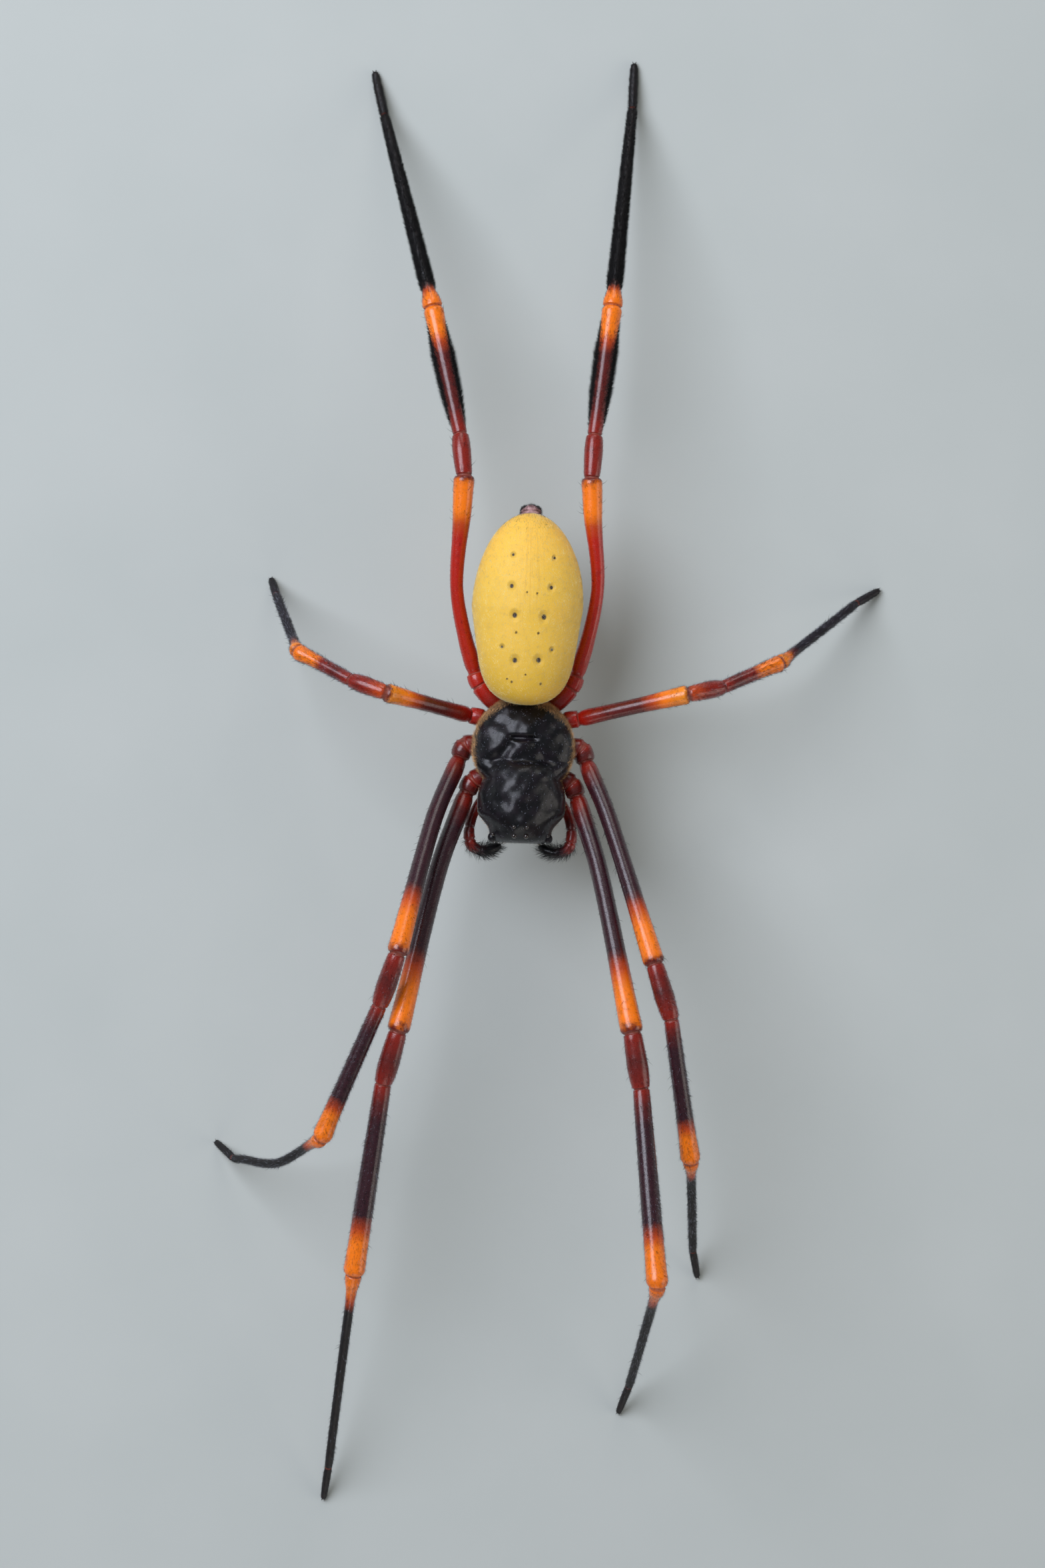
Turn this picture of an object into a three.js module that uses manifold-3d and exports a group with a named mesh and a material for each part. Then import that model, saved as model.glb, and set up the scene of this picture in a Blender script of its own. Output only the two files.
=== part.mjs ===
// A golden silk orb weaver, an adult female at life size, standing on the tips of its eight feet with the
// head down the page: -Y is ahead, +Y is the tail end, +Z is up. Sizes are in millimetres and angles in
// degrees. The spider's own right side lies towards -X. The group's origin is on the floor, under the
// middle of its box.
import * as THREE from 'three';
import { mergeVertices } from 'three/addons/utils/BufferGeometryUtils.js';
import Module from 'manifold-3d';

const wasm = await Module();
wasm.setup();

// Clearance between neighbouring pieces
const GAP = 0.3;
const FULL_TURN = 2 * Math.PI;

// Abdomen: an egg with a blunt front that overhangs the carapace
const ABDOMEN = {
  front: 4.3, length: 20.0, halfWidth: 5.85, halfHeight: 5.25,
  centreHeight: 14.8, frontLift: 1.3, liftReach: 0.25, frontTaper: 0.25, frontBlunt: 6, cornerPower: 0.455,
};

// Carapace: a low round thorax and a raised head, on one flat margin
const CARAPACE = {
  margin: 12.5, underside: 0.3, front: -10.05, rear: 5.2,
  thorax: { centre: -0.1, halfLength: 5.3, halfWidth: 5.3, height: 3.0 },
  head: {
    widest: -5.8, rearReach: 5.26, frontReach: 4.25, halfWidth: 4.58, square: 8,
    shoulderStart: -6.7, shoulderEnd: -8.9, narrowing: 0.28,
  },
  roof: { centre: -5.6, halfLength: 4.5, height: 4.4, blunt: 3.2 },
};

// Sternum: the plate under the thorax, wide in front and pointed behind
const STERNUM = { front: -3.3, rear: 3.4, halfWidth: 2.55, top: 11.9, bottom: 9.3 };

const MOUTHPARTS = { front: -6.2, rear: -3.6, halfWidth: 2.3, top: 11.9, bottom: 9.5 };
const CHELICERA = {
  x: 1.3, y: -7.55, top: 11.9, length: 5.2, halfWidth: 1.12, halfDepth: 1.3,
  fangLength: 2.3, fangRadius: 0.36
};
const EYES = { radius: 0.32, front: [0.62, -9.3], back: [0.66, -8.35], side: [2.9, -9.5], tubercle: 0.5 };
const PEDICEL = { radius: 0.64, start: [0, 4.0, 10.8], end: [0, 7.6, 11.6] };
const SPINNERETS = { root: 23.55, height: 13.1, length: 1.65, radius: 0.55, spread: 0.52, droop: -12 };
const EPIGYNE = { y: 8.6, halfWidth: 1.3, halfLength: 0.9, depth: 0.45 };

// Pedipalps: the route of the right one, from the mouthparts round the front of the head
const PALP = {
  route: [[-2.75, -4.9, 10.3], [-4.1, -5.7, 9.9], [-5.0, -7.3, 9.9], [-5.35, -9.2, 10.5],
    [-5.0, -10.5, 10.5], [-3.75, -10.95, 9.9], [-2.0, -10.4, 9.3]],
  radii: [
    [0, 0.5], [0.08, 0.6], [0.3, 0.52], [0.48, 0.58], [0.6, 0.66],
    [0.72, 0.6], [0.9, 0.62], [0.97, 0.48], [1, 0.3]
  ],
};

// One table for each pair of legs: the root of the coxa and the far end of the trochanter on the left
// side, the lengths from femur to tarsus, and the radii at the start, middle and far end of each
const FOOT_HEIGHT = 0.16;
const LEG_SIZES = {
  1: {
    coxaRoot: [2.0, -2.75, 10.7], trochanterEnd: [5.75, -5.0, 11.0], trochanterHeading: 28,
    coxaRadius: 1.15, lengths: [27.2, 5.8, 20.5, 24.9, 4.2],
    radii: [[1.0, 0.98, 1.12], [1.02, 1.16, 0.99], [0.92, 1.06, 1.12], [0.5, 0.47, 0.42], [0.42, 0.4, 0.3]],
  },
  2: {
    coxaRoot: [2.55, -0.7, 10.7], trochanterEnd: [6.6, -1.4, 11.0], trochanterHeading: 24,
    coxaRadius: 1.15, lengths: [24.2, 5.9, 15.4, 18.1, 3.8],
    radii: [[0.95, 0.93, 1.06], [0.97, 1.09, 0.92], [0.82, 0.88, 1.02], [0.48, 0.46, 0.4], [0.4, 0.39, 0.3]],
  },
  3: {
    coxaRoot: [2.45, 1.35, 10.7], trochanterEnd: [5.75, 3.1, 11.0], trochanterHeading: 100,
    coxaRadius: 1.0, lengths: [12.3, 4.1, 7.2, 13.3, 3.4],
    radii: [[0.87, 0.82, 0.95], [0.87, 0.97, 0.82], [0.72, 0.74, 0.88], [0.48, 0.46, 0.42], [0.42, 0.4, 0.3]],
  },
  4: {
    coxaRoot: [1.6, 3.2, 10.7], trochanterEnd: [5.3, 7.6, 11.0], trochanterHeading: 155,
    coxaRadius: 1.1, lengths: [20.8, 4.5, 14.0, 23.3, 5.0],
    radii: [[0.86, 0.7, 1.04], [0.9, 1.02, 0.92], [0.8, 0.94, 1.04], [0.62, 0.56, 0.43], [0.43, 0.45, 0.34]],
  },
};

// The pose: for each segment its heading from straight ahead, positive towards the left side. The pitches
// above the horizon are those of the femur, patella, tibia and tarsus: the metatarsus slopes at whatever
// pitch sets the foot on the floor. A bow lists [share of the length, sideways shift], positive to the
// port side of the direction of travel from body to foot.
const LEG_POSES = {
  leg_1_right: {
    headings: [-14, -14, -7, -6, -7.5], pitches: [19.5, -15, -9.5, -31],
    bows: { 0: [[0.3, -0.6]] },
  },
  leg_1_left: {
    headings: [15, 11, 6.5, -10.5, -18], pitches: [23, -4.5, 9.5, -40],
    bows: { 0: [[0.3, 0.5]] }
  },
  leg_2_right: {
    headings: [-15.5, -17, -22, -72, -127], pitches: [29, -17, -11, -48],
    bows: { 0: [[0.3, -0.6]], 3: [[0.55, 1.5]] },
  },
  leg_2_left: {
    headings: [20.5, 18.5, 10, 5, 12], pitches: [24.5, 1.5, -14, -38],
    bows: { 0: [[0.25, 0.35]] },
  },
  leg_3_right: { headings: [-103, -108, -116.5, -155, -158.5], pitches: [43.5, -22, -28.5, -56.5], bows: {} },
  leg_3_left: { headings: [104.5, 104, 115, 129.5, 122], pitches: [18.5, -27, -23, -32.5], bows: {} },
  leg_4_right: {
    headings: [-175, -172.5, -166, -164, -165.5], pitches: [10.5, -16, -12.5, -17],
    bows: { 0: [[0.16, 0.75], [0.43, 1.4], [0.8, 0.45]] },
  },
  leg_4_left: {
    headings: [177.5, 178, 174, 176, 179.5], pitches: [7.5, -9, -12, -13.5],
    bows: { 0: [[0.16, -0.8], [0.45, -1.5], [0.8, -0.45]] },
  },
};
const SEGMENTS = ['femur', 'patella', 'tibia', 'metatarsus', 'tarsus'];
// Rise of the middle of each segment above a straight line, as a share of its length
const ARCHES = [0.025, 0.02, 0.01, 0.03, 0];
// Distance from a joint within which the leg turns
const JOINT_BEND = 1.8;
// Depth of the flat cut on each end of a segment
const TRIM = 0.01;

const FINISHES = {
  abdomen: new THREE.MeshStandardMaterial({ color: 0xd9a916, roughness: 0.45 }),
  carapace: new THREE.MeshStandardMaterial({ color: 0x14121a, roughness: 0.25 }),
  underside: new THREE.MeshStandardMaterial({ color: 0x3a1512, roughness: 0.4 }),
  legRed: new THREE.MeshStandardMaterial({ color: 0x8a1c0c, roughness: 0.35 }),
  legDark: new THREE.MeshStandardMaterial({ color: 0x3a1216, roughness: 0.35 }),
  legBlack: new THREE.MeshStandardMaterial({ color: 0x121014, roughness: 0.5 }),
  spinnerets: new THREE.MeshStandardMaterial({ color: 0x5a3a3a, roughness: 0.6 }),
};

// Closed geometry to solid and back
function solid(geometry) {
  const bare = geometry.clone();
  bare.deleteAttribute('normal');
  bare.deleteAttribute('uv');
  const merged = mergeVertices(bare, 1e-4);
  return new wasm.Manifold(new wasm.Mesh({
    numProp: 3,
    vertProperties: merged.attributes.position.array,
    triVerts: new Uint32Array(merged.index.array),
  }));
}

// The largest closed surface of a solid, as a geometry
function geometryOf(made) {
  const largest = made.decompose().reduce((a, b) => (b.volume() > a.volume() ? b : a));
  const mesh = largest.getMesh();
  const geometry = new THREE.BufferGeometry();
  geometry.setAttribute('position', new THREE.BufferAttribute(new Float32Array(mesh.vertProperties), 3));
  geometry.setIndex(new THREE.BufferAttribute(new Uint32Array(mesh.triVerts), 1));
  geometry.computeVertexNormals();
  return geometry;
}

function piece(name, made, finish) {
  const mesh = new THREE.Mesh(made.isBufferGeometry ? made : geometryOf(made), finish);
  mesh.name = name;
  return mesh;
}

// Linear reading of a list of [position, value] rows
function readAt(rows, position) {
  const after = rows.findIndex(([at]) => at >= position);
  if (after <= 0) return rows[Math.max(after, 0)][1];
  const [a, valueA] = rows[after - 1];
  const [b, valueB] = rows[after];
  return valueA + ((valueB - valueA) * (position - a)) / (b - a);
}

const degrees = THREE.MathUtils.degToRad;

function direction(heading, pitch) {
  const level = Math.cos(degrees(pitch));
  return new THREE.Vector3(
    Math.sin(degrees(heading)) * level,
    -Math.cos(degrees(heading)) * level,
    Math.sin(degrees(pitch)),
  );
}

// A round form turned about Y from a profile of [distance, radius], then laid along a curve from a given
// distance
function alongCurve(curve, start, profile, sides) {
  const end = profile[profile.length - 1][0];
  const outline = [
    new THREE.Vector2(0, 0),
    ...profile.map(([distance, radius]) => new THREE.Vector2(radius, distance)),
    new THREE.Vector2(0, end),
  ];
  const geometry = new THREE.LatheGeometry(outline, sides);
  const places = geometry.attributes.position;
  const total = curve.getLength();
  const point = new THREE.Vector3();
  for (let i = 0; i < places.count; i += 1) {
    point.fromBufferAttribute(places, i);
    const share = Math.min((start + point.y) / total, 1);
    const tangent = curve.getTangentAt(share);
    const side = new THREE.Vector3().crossVectors(tangent, new THREE.Vector3(0, 0, 1)).normalize();
    const above = new THREE.Vector3().crossVectors(side, tangent);
    const placed = curve.getPointAt(share).addScaledVector(side, point.x).addScaledVector(above, point.z);
    places.setXYZ(i, placed.x, placed.y, placed.z);
  }
  return geometry;
}

// The part of a solid ahead of the plane across a curve at a distance along it, or the part behind with
// way -1
function trimAcross(made, curve, distance, way) {
  const share = distance / curve.getLength();
  const normal = curve.getTangentAt(share).multiplyScalar(way);
  return made.trimByPlane(normal.toArray(), normal.dot(curve.getPointAt(share)));
}

// A rounded form laid along Y: a sphere whose rings take their half width, top and bottom from functions
// of Y
function shapedForm(front, rear, sides, rings, section) {
  const geometry = new THREE.SphereGeometry(1, sides, rings);
  const places = geometry.attributes.position;
  for (let i = 0; i < places.count; i += 1) {
    const share = (1 + places.getY(i)) / 2;
    const y = front + (rear - front) * share;
    const across = Math.hypot(places.getX(i), places.getZ(i));
    const cos = across > 1e-6 ? places.getX(i) / across : 0;
    const sin = across > 1e-6 ? places.getZ(i) / across : 0;
    const { halfWidth, top, bottom, centre } = section(y, share);
    const open = across > 1e-6 ? 1 : 0;
    const z = sin > 0 ? centre + (top - centre) * sin : centre + (centre - bottom) * sin;
    places.setXYZ(i, halfWidth * cos * open, y, open ? z : centre);
  }
  return geometry;
}

// Half width of a superellipse of a given half length, at a distance from its middle
function bulge(distance, halfLength, power) {
  const share = Math.min(Math.abs(distance) / halfLength, 1);
  return (1 - share ** power) ** (1 / power);
}

function abdomenSection(y, grow) {
  const share = THREE.MathUtils.clamp((y - ABDOMEN.front) / ABDOMEN.length, 0, 1);
  const ahead = Math.max(1 - 2 * share, 0);
  const behind = Math.max(2 * share - 1, 0);
  const form = behind > 0
    ? Math.sqrt(1 - behind ** 2)
    : (1 - ABDOMEN.frontTaper * ahead) * (1 - ahead ** ABDOMEN.frontBlunt) ** ABDOMEN.cornerPower;
  const lift = ABDOMEN.frontLift * Math.max(1 - share / ABDOMEN.liftReach, 0) ** 2;
  const centre = ABDOMEN.centreHeight + lift;
  return {
    halfWidth: ABDOMEN.halfWidth * form + grow,
    top: centre + ABDOMEN.halfHeight * form + grow,
    bottom: centre - ABDOMEN.halfHeight * form - grow,
    centre,
  };
}

function abdomenForm(grow, sides, rings) {
  return solid(shapedForm(ABDOMEN.front - grow, ABDOMEN.front + ABDOMEN.length + grow, sides, rings,
    (y) => abdomenSection(y, grow)));
}

function abdomen() {
  const epigyne = new THREE.SphereGeometry(1, 12, 8)
    .scale(EPIGYNE.halfWidth, EPIGYNE.halfLength, EPIGYNE.depth * 2);
  epigyne.translate(0, EPIGYNE.y, abdomenSection(EPIGYNE.y, 0).bottom + EPIGYNE.depth / 2);
  return piece('abdomen', abdomenForm(0, 28, 22).add(solid(epigyne)), FINISHES.abdomen);
}

// Half width of the head from above: it swells in front of the thorax, then narrows at its shoulders to a
// square front
function headHalfWidth(y) {
  const { widest, rearReach, frontReach, halfWidth } = CARAPACE.head;
  const { square, shoulderStart, shoulderEnd, narrowing } = CARAPACE.head;
  if (y > widest) return halfWidth * bulge(y - widest, rearReach, 2);
  const narrowed = 1 - narrowing * THREE.MathUtils.smoothstep(-y, -shoulderStart, -shoulderEnd);
  return halfWidth * narrowed * bulge(y - widest, frontReach, square);
}

// The carapace's outline and roof: the larger of the thorax and the head at each place
function carapaceSection(y, grow) {
  const { thorax, roof, margin, underside } = CARAPACE;
  const nearThorax = bulge(y - thorax.centre, thorax.halfLength, 2);
  return {
    halfWidth: Math.max(thorax.halfWidth * nearThorax, headHalfWidth(y)) + grow,
    top: margin + Math.max(
      thorax.height * nearThorax,
      roof.height * bulge(y - roof.centre, roof.halfLength, roof.blunt)
    )
      + grow,
    bottom: margin - underside - grow,
    centre: margin,
  };
}

function carapaceForm(grow, sides, rings) {
  return solid(shapedForm(CARAPACE.front - grow, CARAPACE.rear + grow, sides, rings,
    (y) => carapaceSection(y, grow)));
}

function dome(x, y, radius, sink) {
  const { top, halfWidth, centre } = carapaceSection(y, 0);
  const roof = centre + (top - centre) * Math.sqrt(Math.max(1 - (x / halfWidth) ** 2, 0));
  return solid(new THREE.SphereGeometry(radius, 10, 8).translate(x, y, roof - sink));
}

function carapace() {
  let made = carapaceForm(0, 28, 24);
  for (const side of [-1, 1]) {
    for (const [x, y] of [EYES.front, EYES.back]) {
      made = made.add(dome(side * x, y, EYES.radius, EYES.radius * 0.3));
    }
    const [x, y] = EYES.side;
    made = made.add(dome(side * x, y, EYES.tubercle, EYES.tubercle * 0.4));
  }
  return piece('carapace', made.subtract(abdomenForm(GAP, 28, 22)), FINISHES.carapace);
}

function sternumForm(grow) {
  const outline = new THREE.Shape();
  const { front, rear, halfWidth, top, bottom } = STERNUM;
  outline.moveTo(0, rear + grow);
  outline.bezierCurveTo(
    halfWidth * 0.5 + grow, rear - 0.6 + grow, halfWidth + grow, 1.2, halfWidth + grow, -0.8
  );
  outline.bezierCurveTo(halfWidth + grow, -2.4, halfWidth * 0.6, front - grow, 0, front - grow);
  outline.bezierCurveTo(-halfWidth * 0.6, front - grow, -halfWidth - grow, -2.4, -halfWidth - grow, -0.8);
  outline.bezierCurveTo(-halfWidth - grow, 1.2, -halfWidth * 0.5 - grow, rear - 0.6 + grow, 0, rear + grow);
  const bevel = 0.35;
  const plate = new THREE.ExtrudeGeometry(outline, {
    depth: top - bottom - 2 * bevel + 2 * grow,
    bevelThickness: bevel, bevelSize: bevel, bevelOffset: -bevel, bevelSegments: 2, curveSegments: 8,
  });
  return solid(plate.translate(0, 0, bottom + bevel - grow));
}

function mouthpartsForm(grow) {
  const { front, rear, halfWidth, top, bottom } = MOUTHPARTS;
  const depth = rear - front;
  const lobe = (x) => new THREE.SphereGeometry(1, 14, 10)
    .scale(halfWidth * 0.62 + grow, depth / 2 + grow, (top - bottom) / 2 + grow)
    .translate(x, (front + rear) / 2, (top + bottom) / 2);
  return solid(lobe(-halfWidth * 0.48)).add(solid(lobe(halfWidth * 0.48)));
}

// A chelicera: a stout bulging base and the fang folded across under it
function chelicera(name, side) {
  const { x, y, top, length, halfWidth, halfDepth, fangLength, fangRadius } = CHELICERA;
  const base = new THREE.SphereGeometry(1, 16, 14);
  const places = base.attributes.position;
  for (let i = 0; i < places.count; i += 1) {
    const share = (1 - places.getY(i)) / 2;
    const swell = 1 + 0.12 * Math.sin(Math.PI * Math.min(share * 1.6, 1));
    const ring = Math.hypot(places.getX(i), places.getZ(i));
    const blunt = ring > 1e-6 ? bulge(share - 0.5, 0.5, 3.2) / ring : 0;
    const taper = (1 - 0.22 * share) * swell * blunt;
    const across = places.getX(i) * halfWidth * taper;
    const deep = -places.getZ(i) * halfDepth * taper;
    places.setXYZ(i, across, deep, -share * length);
  }
  base.translate(side * x, y, top);
  const hinge = new THREE.Vector3(side * (x + 0.45), y - 0.2, top - length + 0.75);
  const fang = new THREE.CatmullRomCurve3([
    hinge,
    hinge.clone().add(new THREE.Vector3(-side * 0.35 * fangLength, 0.25, -0.62)),
    hinge.clone().add(new THREE.Vector3(-side * 0.7 * fangLength, 0.5, -0.45)),
  ]);
  const tip = fang.getLength();
  const taper = [[0, fangRadius], [tip * 0.5, fangRadius * 0.8], [tip * 0.98, fangRadius * 0.25]];
  const horn = alongCurve(fang, 0, taper, 8);
  return piece(name, solid(base).add(solid(horn)), FINISHES.carapace);
}

function palp(name, side, keepClear) {
  const places = PALP.route.map(([x, y, z]) => new THREE.Vector3(-side * x, y, z));
  const curve = new THREE.CatmullRomCurve3(places, false, 'centripetal');
  const length = curve.getLength();
  const profile = PALP.radii.map(([share, radius]) => [share * length, radius]);
  return piece(name, solid(alongCurve(curve, 0, profile, 10)).subtract(keepClear), FINISHES.legDark);
}

function pedicel(keepClear) {
  const curve = new THREE.LineCurve3(new THREE.Vector3(...PEDICEL.start), new THREE.Vector3(...PEDICEL.end));
  const length = curve.getLength();
  const profile = [[0, PEDICEL.radius], [length * 0.5, PEDICEL.radius * 0.9], [length, PEDICEL.radius]];
  return piece('pedicel', solid(alongCurve(curve, 0, profile, 12)).subtract(keepClear), FINISHES.underside);
}

// Spinnerets: two pairs of short blunt cones round the end of the abdomen, under a broad knob
function spinnerets(keepClear) {
  const { root, height, length, radius, spread, droop } = SPINNERETS;
  const cones = [
    { at: [0, 0.45], heading: 180, reach: 1.0, thick: 1.9 },
    ...[-1, 1].flatMap((side) => [
      { at: [side * spread, 0.05], heading: 180 - side * 6, reach: 0.88, thick: 1.0 },
      { at: [side * spread, -0.85], heading: 180 - side * 6, reach: 0.9, thick: 1.1 },
    ]),
  ];
  let made = solid(new THREE.SphereGeometry(1, 14, 10).scale(1.55, 1.0, 1.5).translate(0, root, height));
  for (const { at: [x, z], heading, reach, thick } of cones) {
    const start = new THREE.Vector3(x, root, height + z);
    const end = start.clone().addScaledVector(direction(heading, droop), length * reach);
    const curve = new THREE.LineCurve3(start, end);
    const far = curve.getLength();
    const profile = [[0, radius * thick], [far * 0.7, radius * thick * 0.8], [far, radius * thick * 0.45]];
    made = made.add(solid(alongCurve(curve, 0, profile, 10)));
  }
  return piece('spinnerets', made.subtract(keepClear), FINISHES.spinnerets);
}

// The centre line of a leg from the trochanter's end to the foot, with the distance of each joint along it
function legRoute(name, sizes, side) {
  const pose = LEG_POSES[name];
  const [x, y, z] = sizes.trochanterEnd;
  const at = new THREE.Vector3(side * x, y, z);
  const knots = [at.clone()];
  const jointKnots = [0];
  const [femurPitch, patellaPitch, tibiaPitch, tarsusPitch] = pose.pitches;
  const tarsusDrop = sizes.lengths[4] * Math.sin(degrees(-tarsusPitch));
  sizes.lengths.forEach((length, i) => {
    const share = (at.z - FOOT_HEIGHT - tarsusDrop) / length;
    const toFloor = -THREE.MathUtils.radToDeg(Math.asin(Math.min(share, 1)));
    const pitches = [femurPitch, patellaPitch, tibiaPitch, toFloor, tarsusPitch];
    const ahead = direction(pose.headings[i], pitches[i]);
    const port = new THREE.Vector3(-ahead.y, ahead.x, 0).normalize();
    const bow = pose.bows[i] ?? [];
    const near = Math.min(JOINT_BEND / length, 0.3);
    const shifts = [[0, 0], ...bow, [1, 0]];
    const shares = [near, ...(bow.length ? bow.map(([along]) => along) : [0.5]), 1 - near];
    for (const along of shares) {
      knots.push(at.clone()
        .addScaledVector(ahead, length * along)
        .addScaledVector(port, readAt(shifts, along))
        .add(new THREE.Vector3(0, 0, ARCHES[i] * length * 4 * along * (1 - along))));
    }
    at.addScaledVector(ahead, length);
    knots.push(at.clone());
    jointKnots.push(knots.length - 1);
  });
  const curve = new THREE.CatmullRomCurve3(knots, false, 'centripetal');
  const steps = 24;
  curve.arcLengthDivisions = (knots.length - 1) * steps;
  const distances = curve.getLengths();
  return { curve, joints: jointKnots.map((knot) => distances[knot * steps]) };
}

// Outline of each kind of segment as [share of the length, radius], from its start, middle and far radii
const OUTLINES = {
  femur: ([start, middle, end]) => [
    [0, start * 0.8], [0.02, start * 0.97], [0.07, start * 1.03], [0.2, (start + middle) / 2], [0.45, middle],
    [0.66, (middle * 2 + end) / 3], [0.84, end], [0.965, end * 1.08], [0.99, end * 1.1], [1, end * 0.95],
  ],
  patella: ([start, middle, end]) => [
    [0, start * 0.94], [0.06, start], [0.3, (start + middle) / 2], [0.62, middle], [0.86, (end + middle) / 2],
    [0.96, end], [1, end * 0.96],
  ],
  tibia: ([start, middle, end]) => [
    [0, start * 0.96], [0.04, start], [0.3, (start + middle) / 2], [0.6, middle], [0.84, (middle + end) / 2],
    [0.955, end * 1.04], [0.985, end * 1.06], [1, end * 0.88],
  ],
  metatarsus: ([start, middle, end]) => [
    [0, start * 1.75], [0.025, start * 1.7], [0.07, start * 1.2], [0.13, start], [0.45, middle],
    [0.8, (middle + end) / 2],
    [0.98, end * 1.04], [1, end * 0.95],
  ],
  tarsus: ([start, middle, end]) => [
    [0, start * 0.92], [0.08, start], [0.5, middle], [0.86, (middle + end) / 2], [1, end]
  ],
};
const SIDES = { femur: 10, patella: 10, tibia: 10, metatarsus: 8, tarsus: 8 };
const SEGMENT_FINISHES = {
  femur: FINISHES.legRed, patella: FINISHES.legDark, tibia: FINISHES.legDark,
  metatarsus: FINISHES.legBlack, tarsus: FINISHES.legBlack,
};

// A coxa and its trochanter, cut off square to the start of the femur's route
function coxa(name, sizes, side, route, keepClear) {
  const root = new THREE.Vector3(side * sizes.coxaRoot[0], sizes.coxaRoot[1], sizes.coxaRoot[2]);
  const [endAcross, endAlong, endUp] = sizes.trochanterEnd;
  const end = new THREE.Vector3(side * endAcross, endAlong, endUp);
  const trochanterLength = 1.45;
  const ahead = direction(side * sizes.trochanterHeading, 0);
  const hinge = end.clone().addScaledVector(ahead, -trochanterLength);
  const thick = sizes.coxaRadius;
  const first = new THREE.LineCurve3(root, hinge);
  const reach = first.getLength();
  const base = alongCurve(first, 0, [
    [0, thick * 0.7], [reach * 0.25, thick * 0.88], [reach * 0.6, thick],
    [reach * 0.92, thick * 0.97], [reach, thick * 0.7],
  ], 12);
  const second = new THREE.LineCurve3(hinge.clone().addScaledVector(ahead, -0.5), end);
  const far = second.getLength();
  const ring = alongCurve(second, 0, [
    [0, thick * 0.6], [far * 0.25, thick * 0.9], [far * 0.6, thick * 0.95],
    [far * 0.9, thick * 0.92], [far, thick * 0.75],
  ], 12);
  const back = route.getTangentAt(0).negate();
  const made = solid(base).add(solid(ring)).trimByPlane(back.toArray(), back.dot(end) + GAP / 2);
  return piece(name, made.subtract(keepClear), FINISHES.legRed);
}

function leg(number, sideName, keepClear, floor) {
  const side = sideName === 'left' ? 1 : -1;
  const name = `leg_${number}_${sideName}`;
  const sizes = LEG_SIZES[number];
  const { curve, joints } = legRoute(name, sizes, side);
  const group = new THREE.Group();
  group.add(coxa(`${name}_coxa`, sizes, side, curve, keepClear));
  SEGMENTS.forEach((segment, i) => {
    const start = joints[i] + GAP / 2;
    const length = joints[i + 1] - start - (segment === 'tarsus' ? 0 : GAP / 2);
    const profile = OUTLINES[segment](sizes.radii[i]).map(([share, radius]) => [share * length, radius]);
    let made = solid(alongCurve(curve, start, profile, SIDES[segment]));
    made = trimAcross(made, curve, start + TRIM, 1);
    made = segment === 'tarsus' ? made.subtract(floor) : trimAcross(made, curve, start + length - TRIM, -1);
    if (segment === 'femur') made = made.subtract(keepClear);
    group.add(piece(`${name}_${segment}`, made, SEGMENT_FINISHES[segment]));
  });
  return group;
}

const floor = solid(new THREE.BoxGeometry(300, 300, 20).translate(0, 0, -10));
const clearOfAbdomen = abdomenForm(GAP, 28, 22);
const clearOfCarapace = carapaceForm(GAP, 28, 24);
const clearOfBody = clearOfCarapace.add(clearOfAbdomen).add(sternumForm(GAP)).add(mouthpartsForm(GAP));

const spider = new THREE.Group();
spider.name = 'golden_silk_orb_weaver';
spider.add(abdomen());
spider.add(carapace());
spider.add(piece('sternum', sternumForm(0), FINISHES.underside));
const mouthparts = mouthpartsForm(0).subtract(sternumForm(GAP)).subtract(clearOfCarapace);
spider.add(piece('mouthparts', mouthparts, FINISHES.underside));
spider.add(pedicel(clearOfBody));
spider.add(spinnerets(clearOfAbdomen));
spider.add(chelicera('chelicera_right', -1));
spider.add(chelicera('chelicera_left', 1));
spider.add(palp('palp_right', -1, clearOfBody));
spider.add(palp('palp_left', 1, clearOfBody));
for (const number of [1, 2, 3, 4]) {
  for (const sideName of ['right', 'left']) spider.add(leg(number, sideName, clearOfBody, floor));
}

// The origin goes under the middle of the whole spider
const box = new THREE.Box3().setFromObject(spider, true);
const middle = box.getCenter(new THREE.Vector3());
spider.position.set(-middle.x, -middle.y, 0);

export default spider;
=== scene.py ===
# %% [markdown]
# # A golden silk orb weaver, life size
#
# The real animal is a large female orb weaver: a plain golden egg of an abdomen, a glossy black carapace,
# and eight long legs banded in red, maroon, purple-black and orange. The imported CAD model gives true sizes
# and places. This script dresses it: smooth skins over the solids, relief, hair, eyes, claws and finishes.
# Everything is worked out in millimetres in the spider's own frame, with the head towards -Y, and turned to
# metres as each mesh is made.

# %% Load the fixed frame
import functools
import math
from types import SimpleNamespace as Sizes

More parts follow.
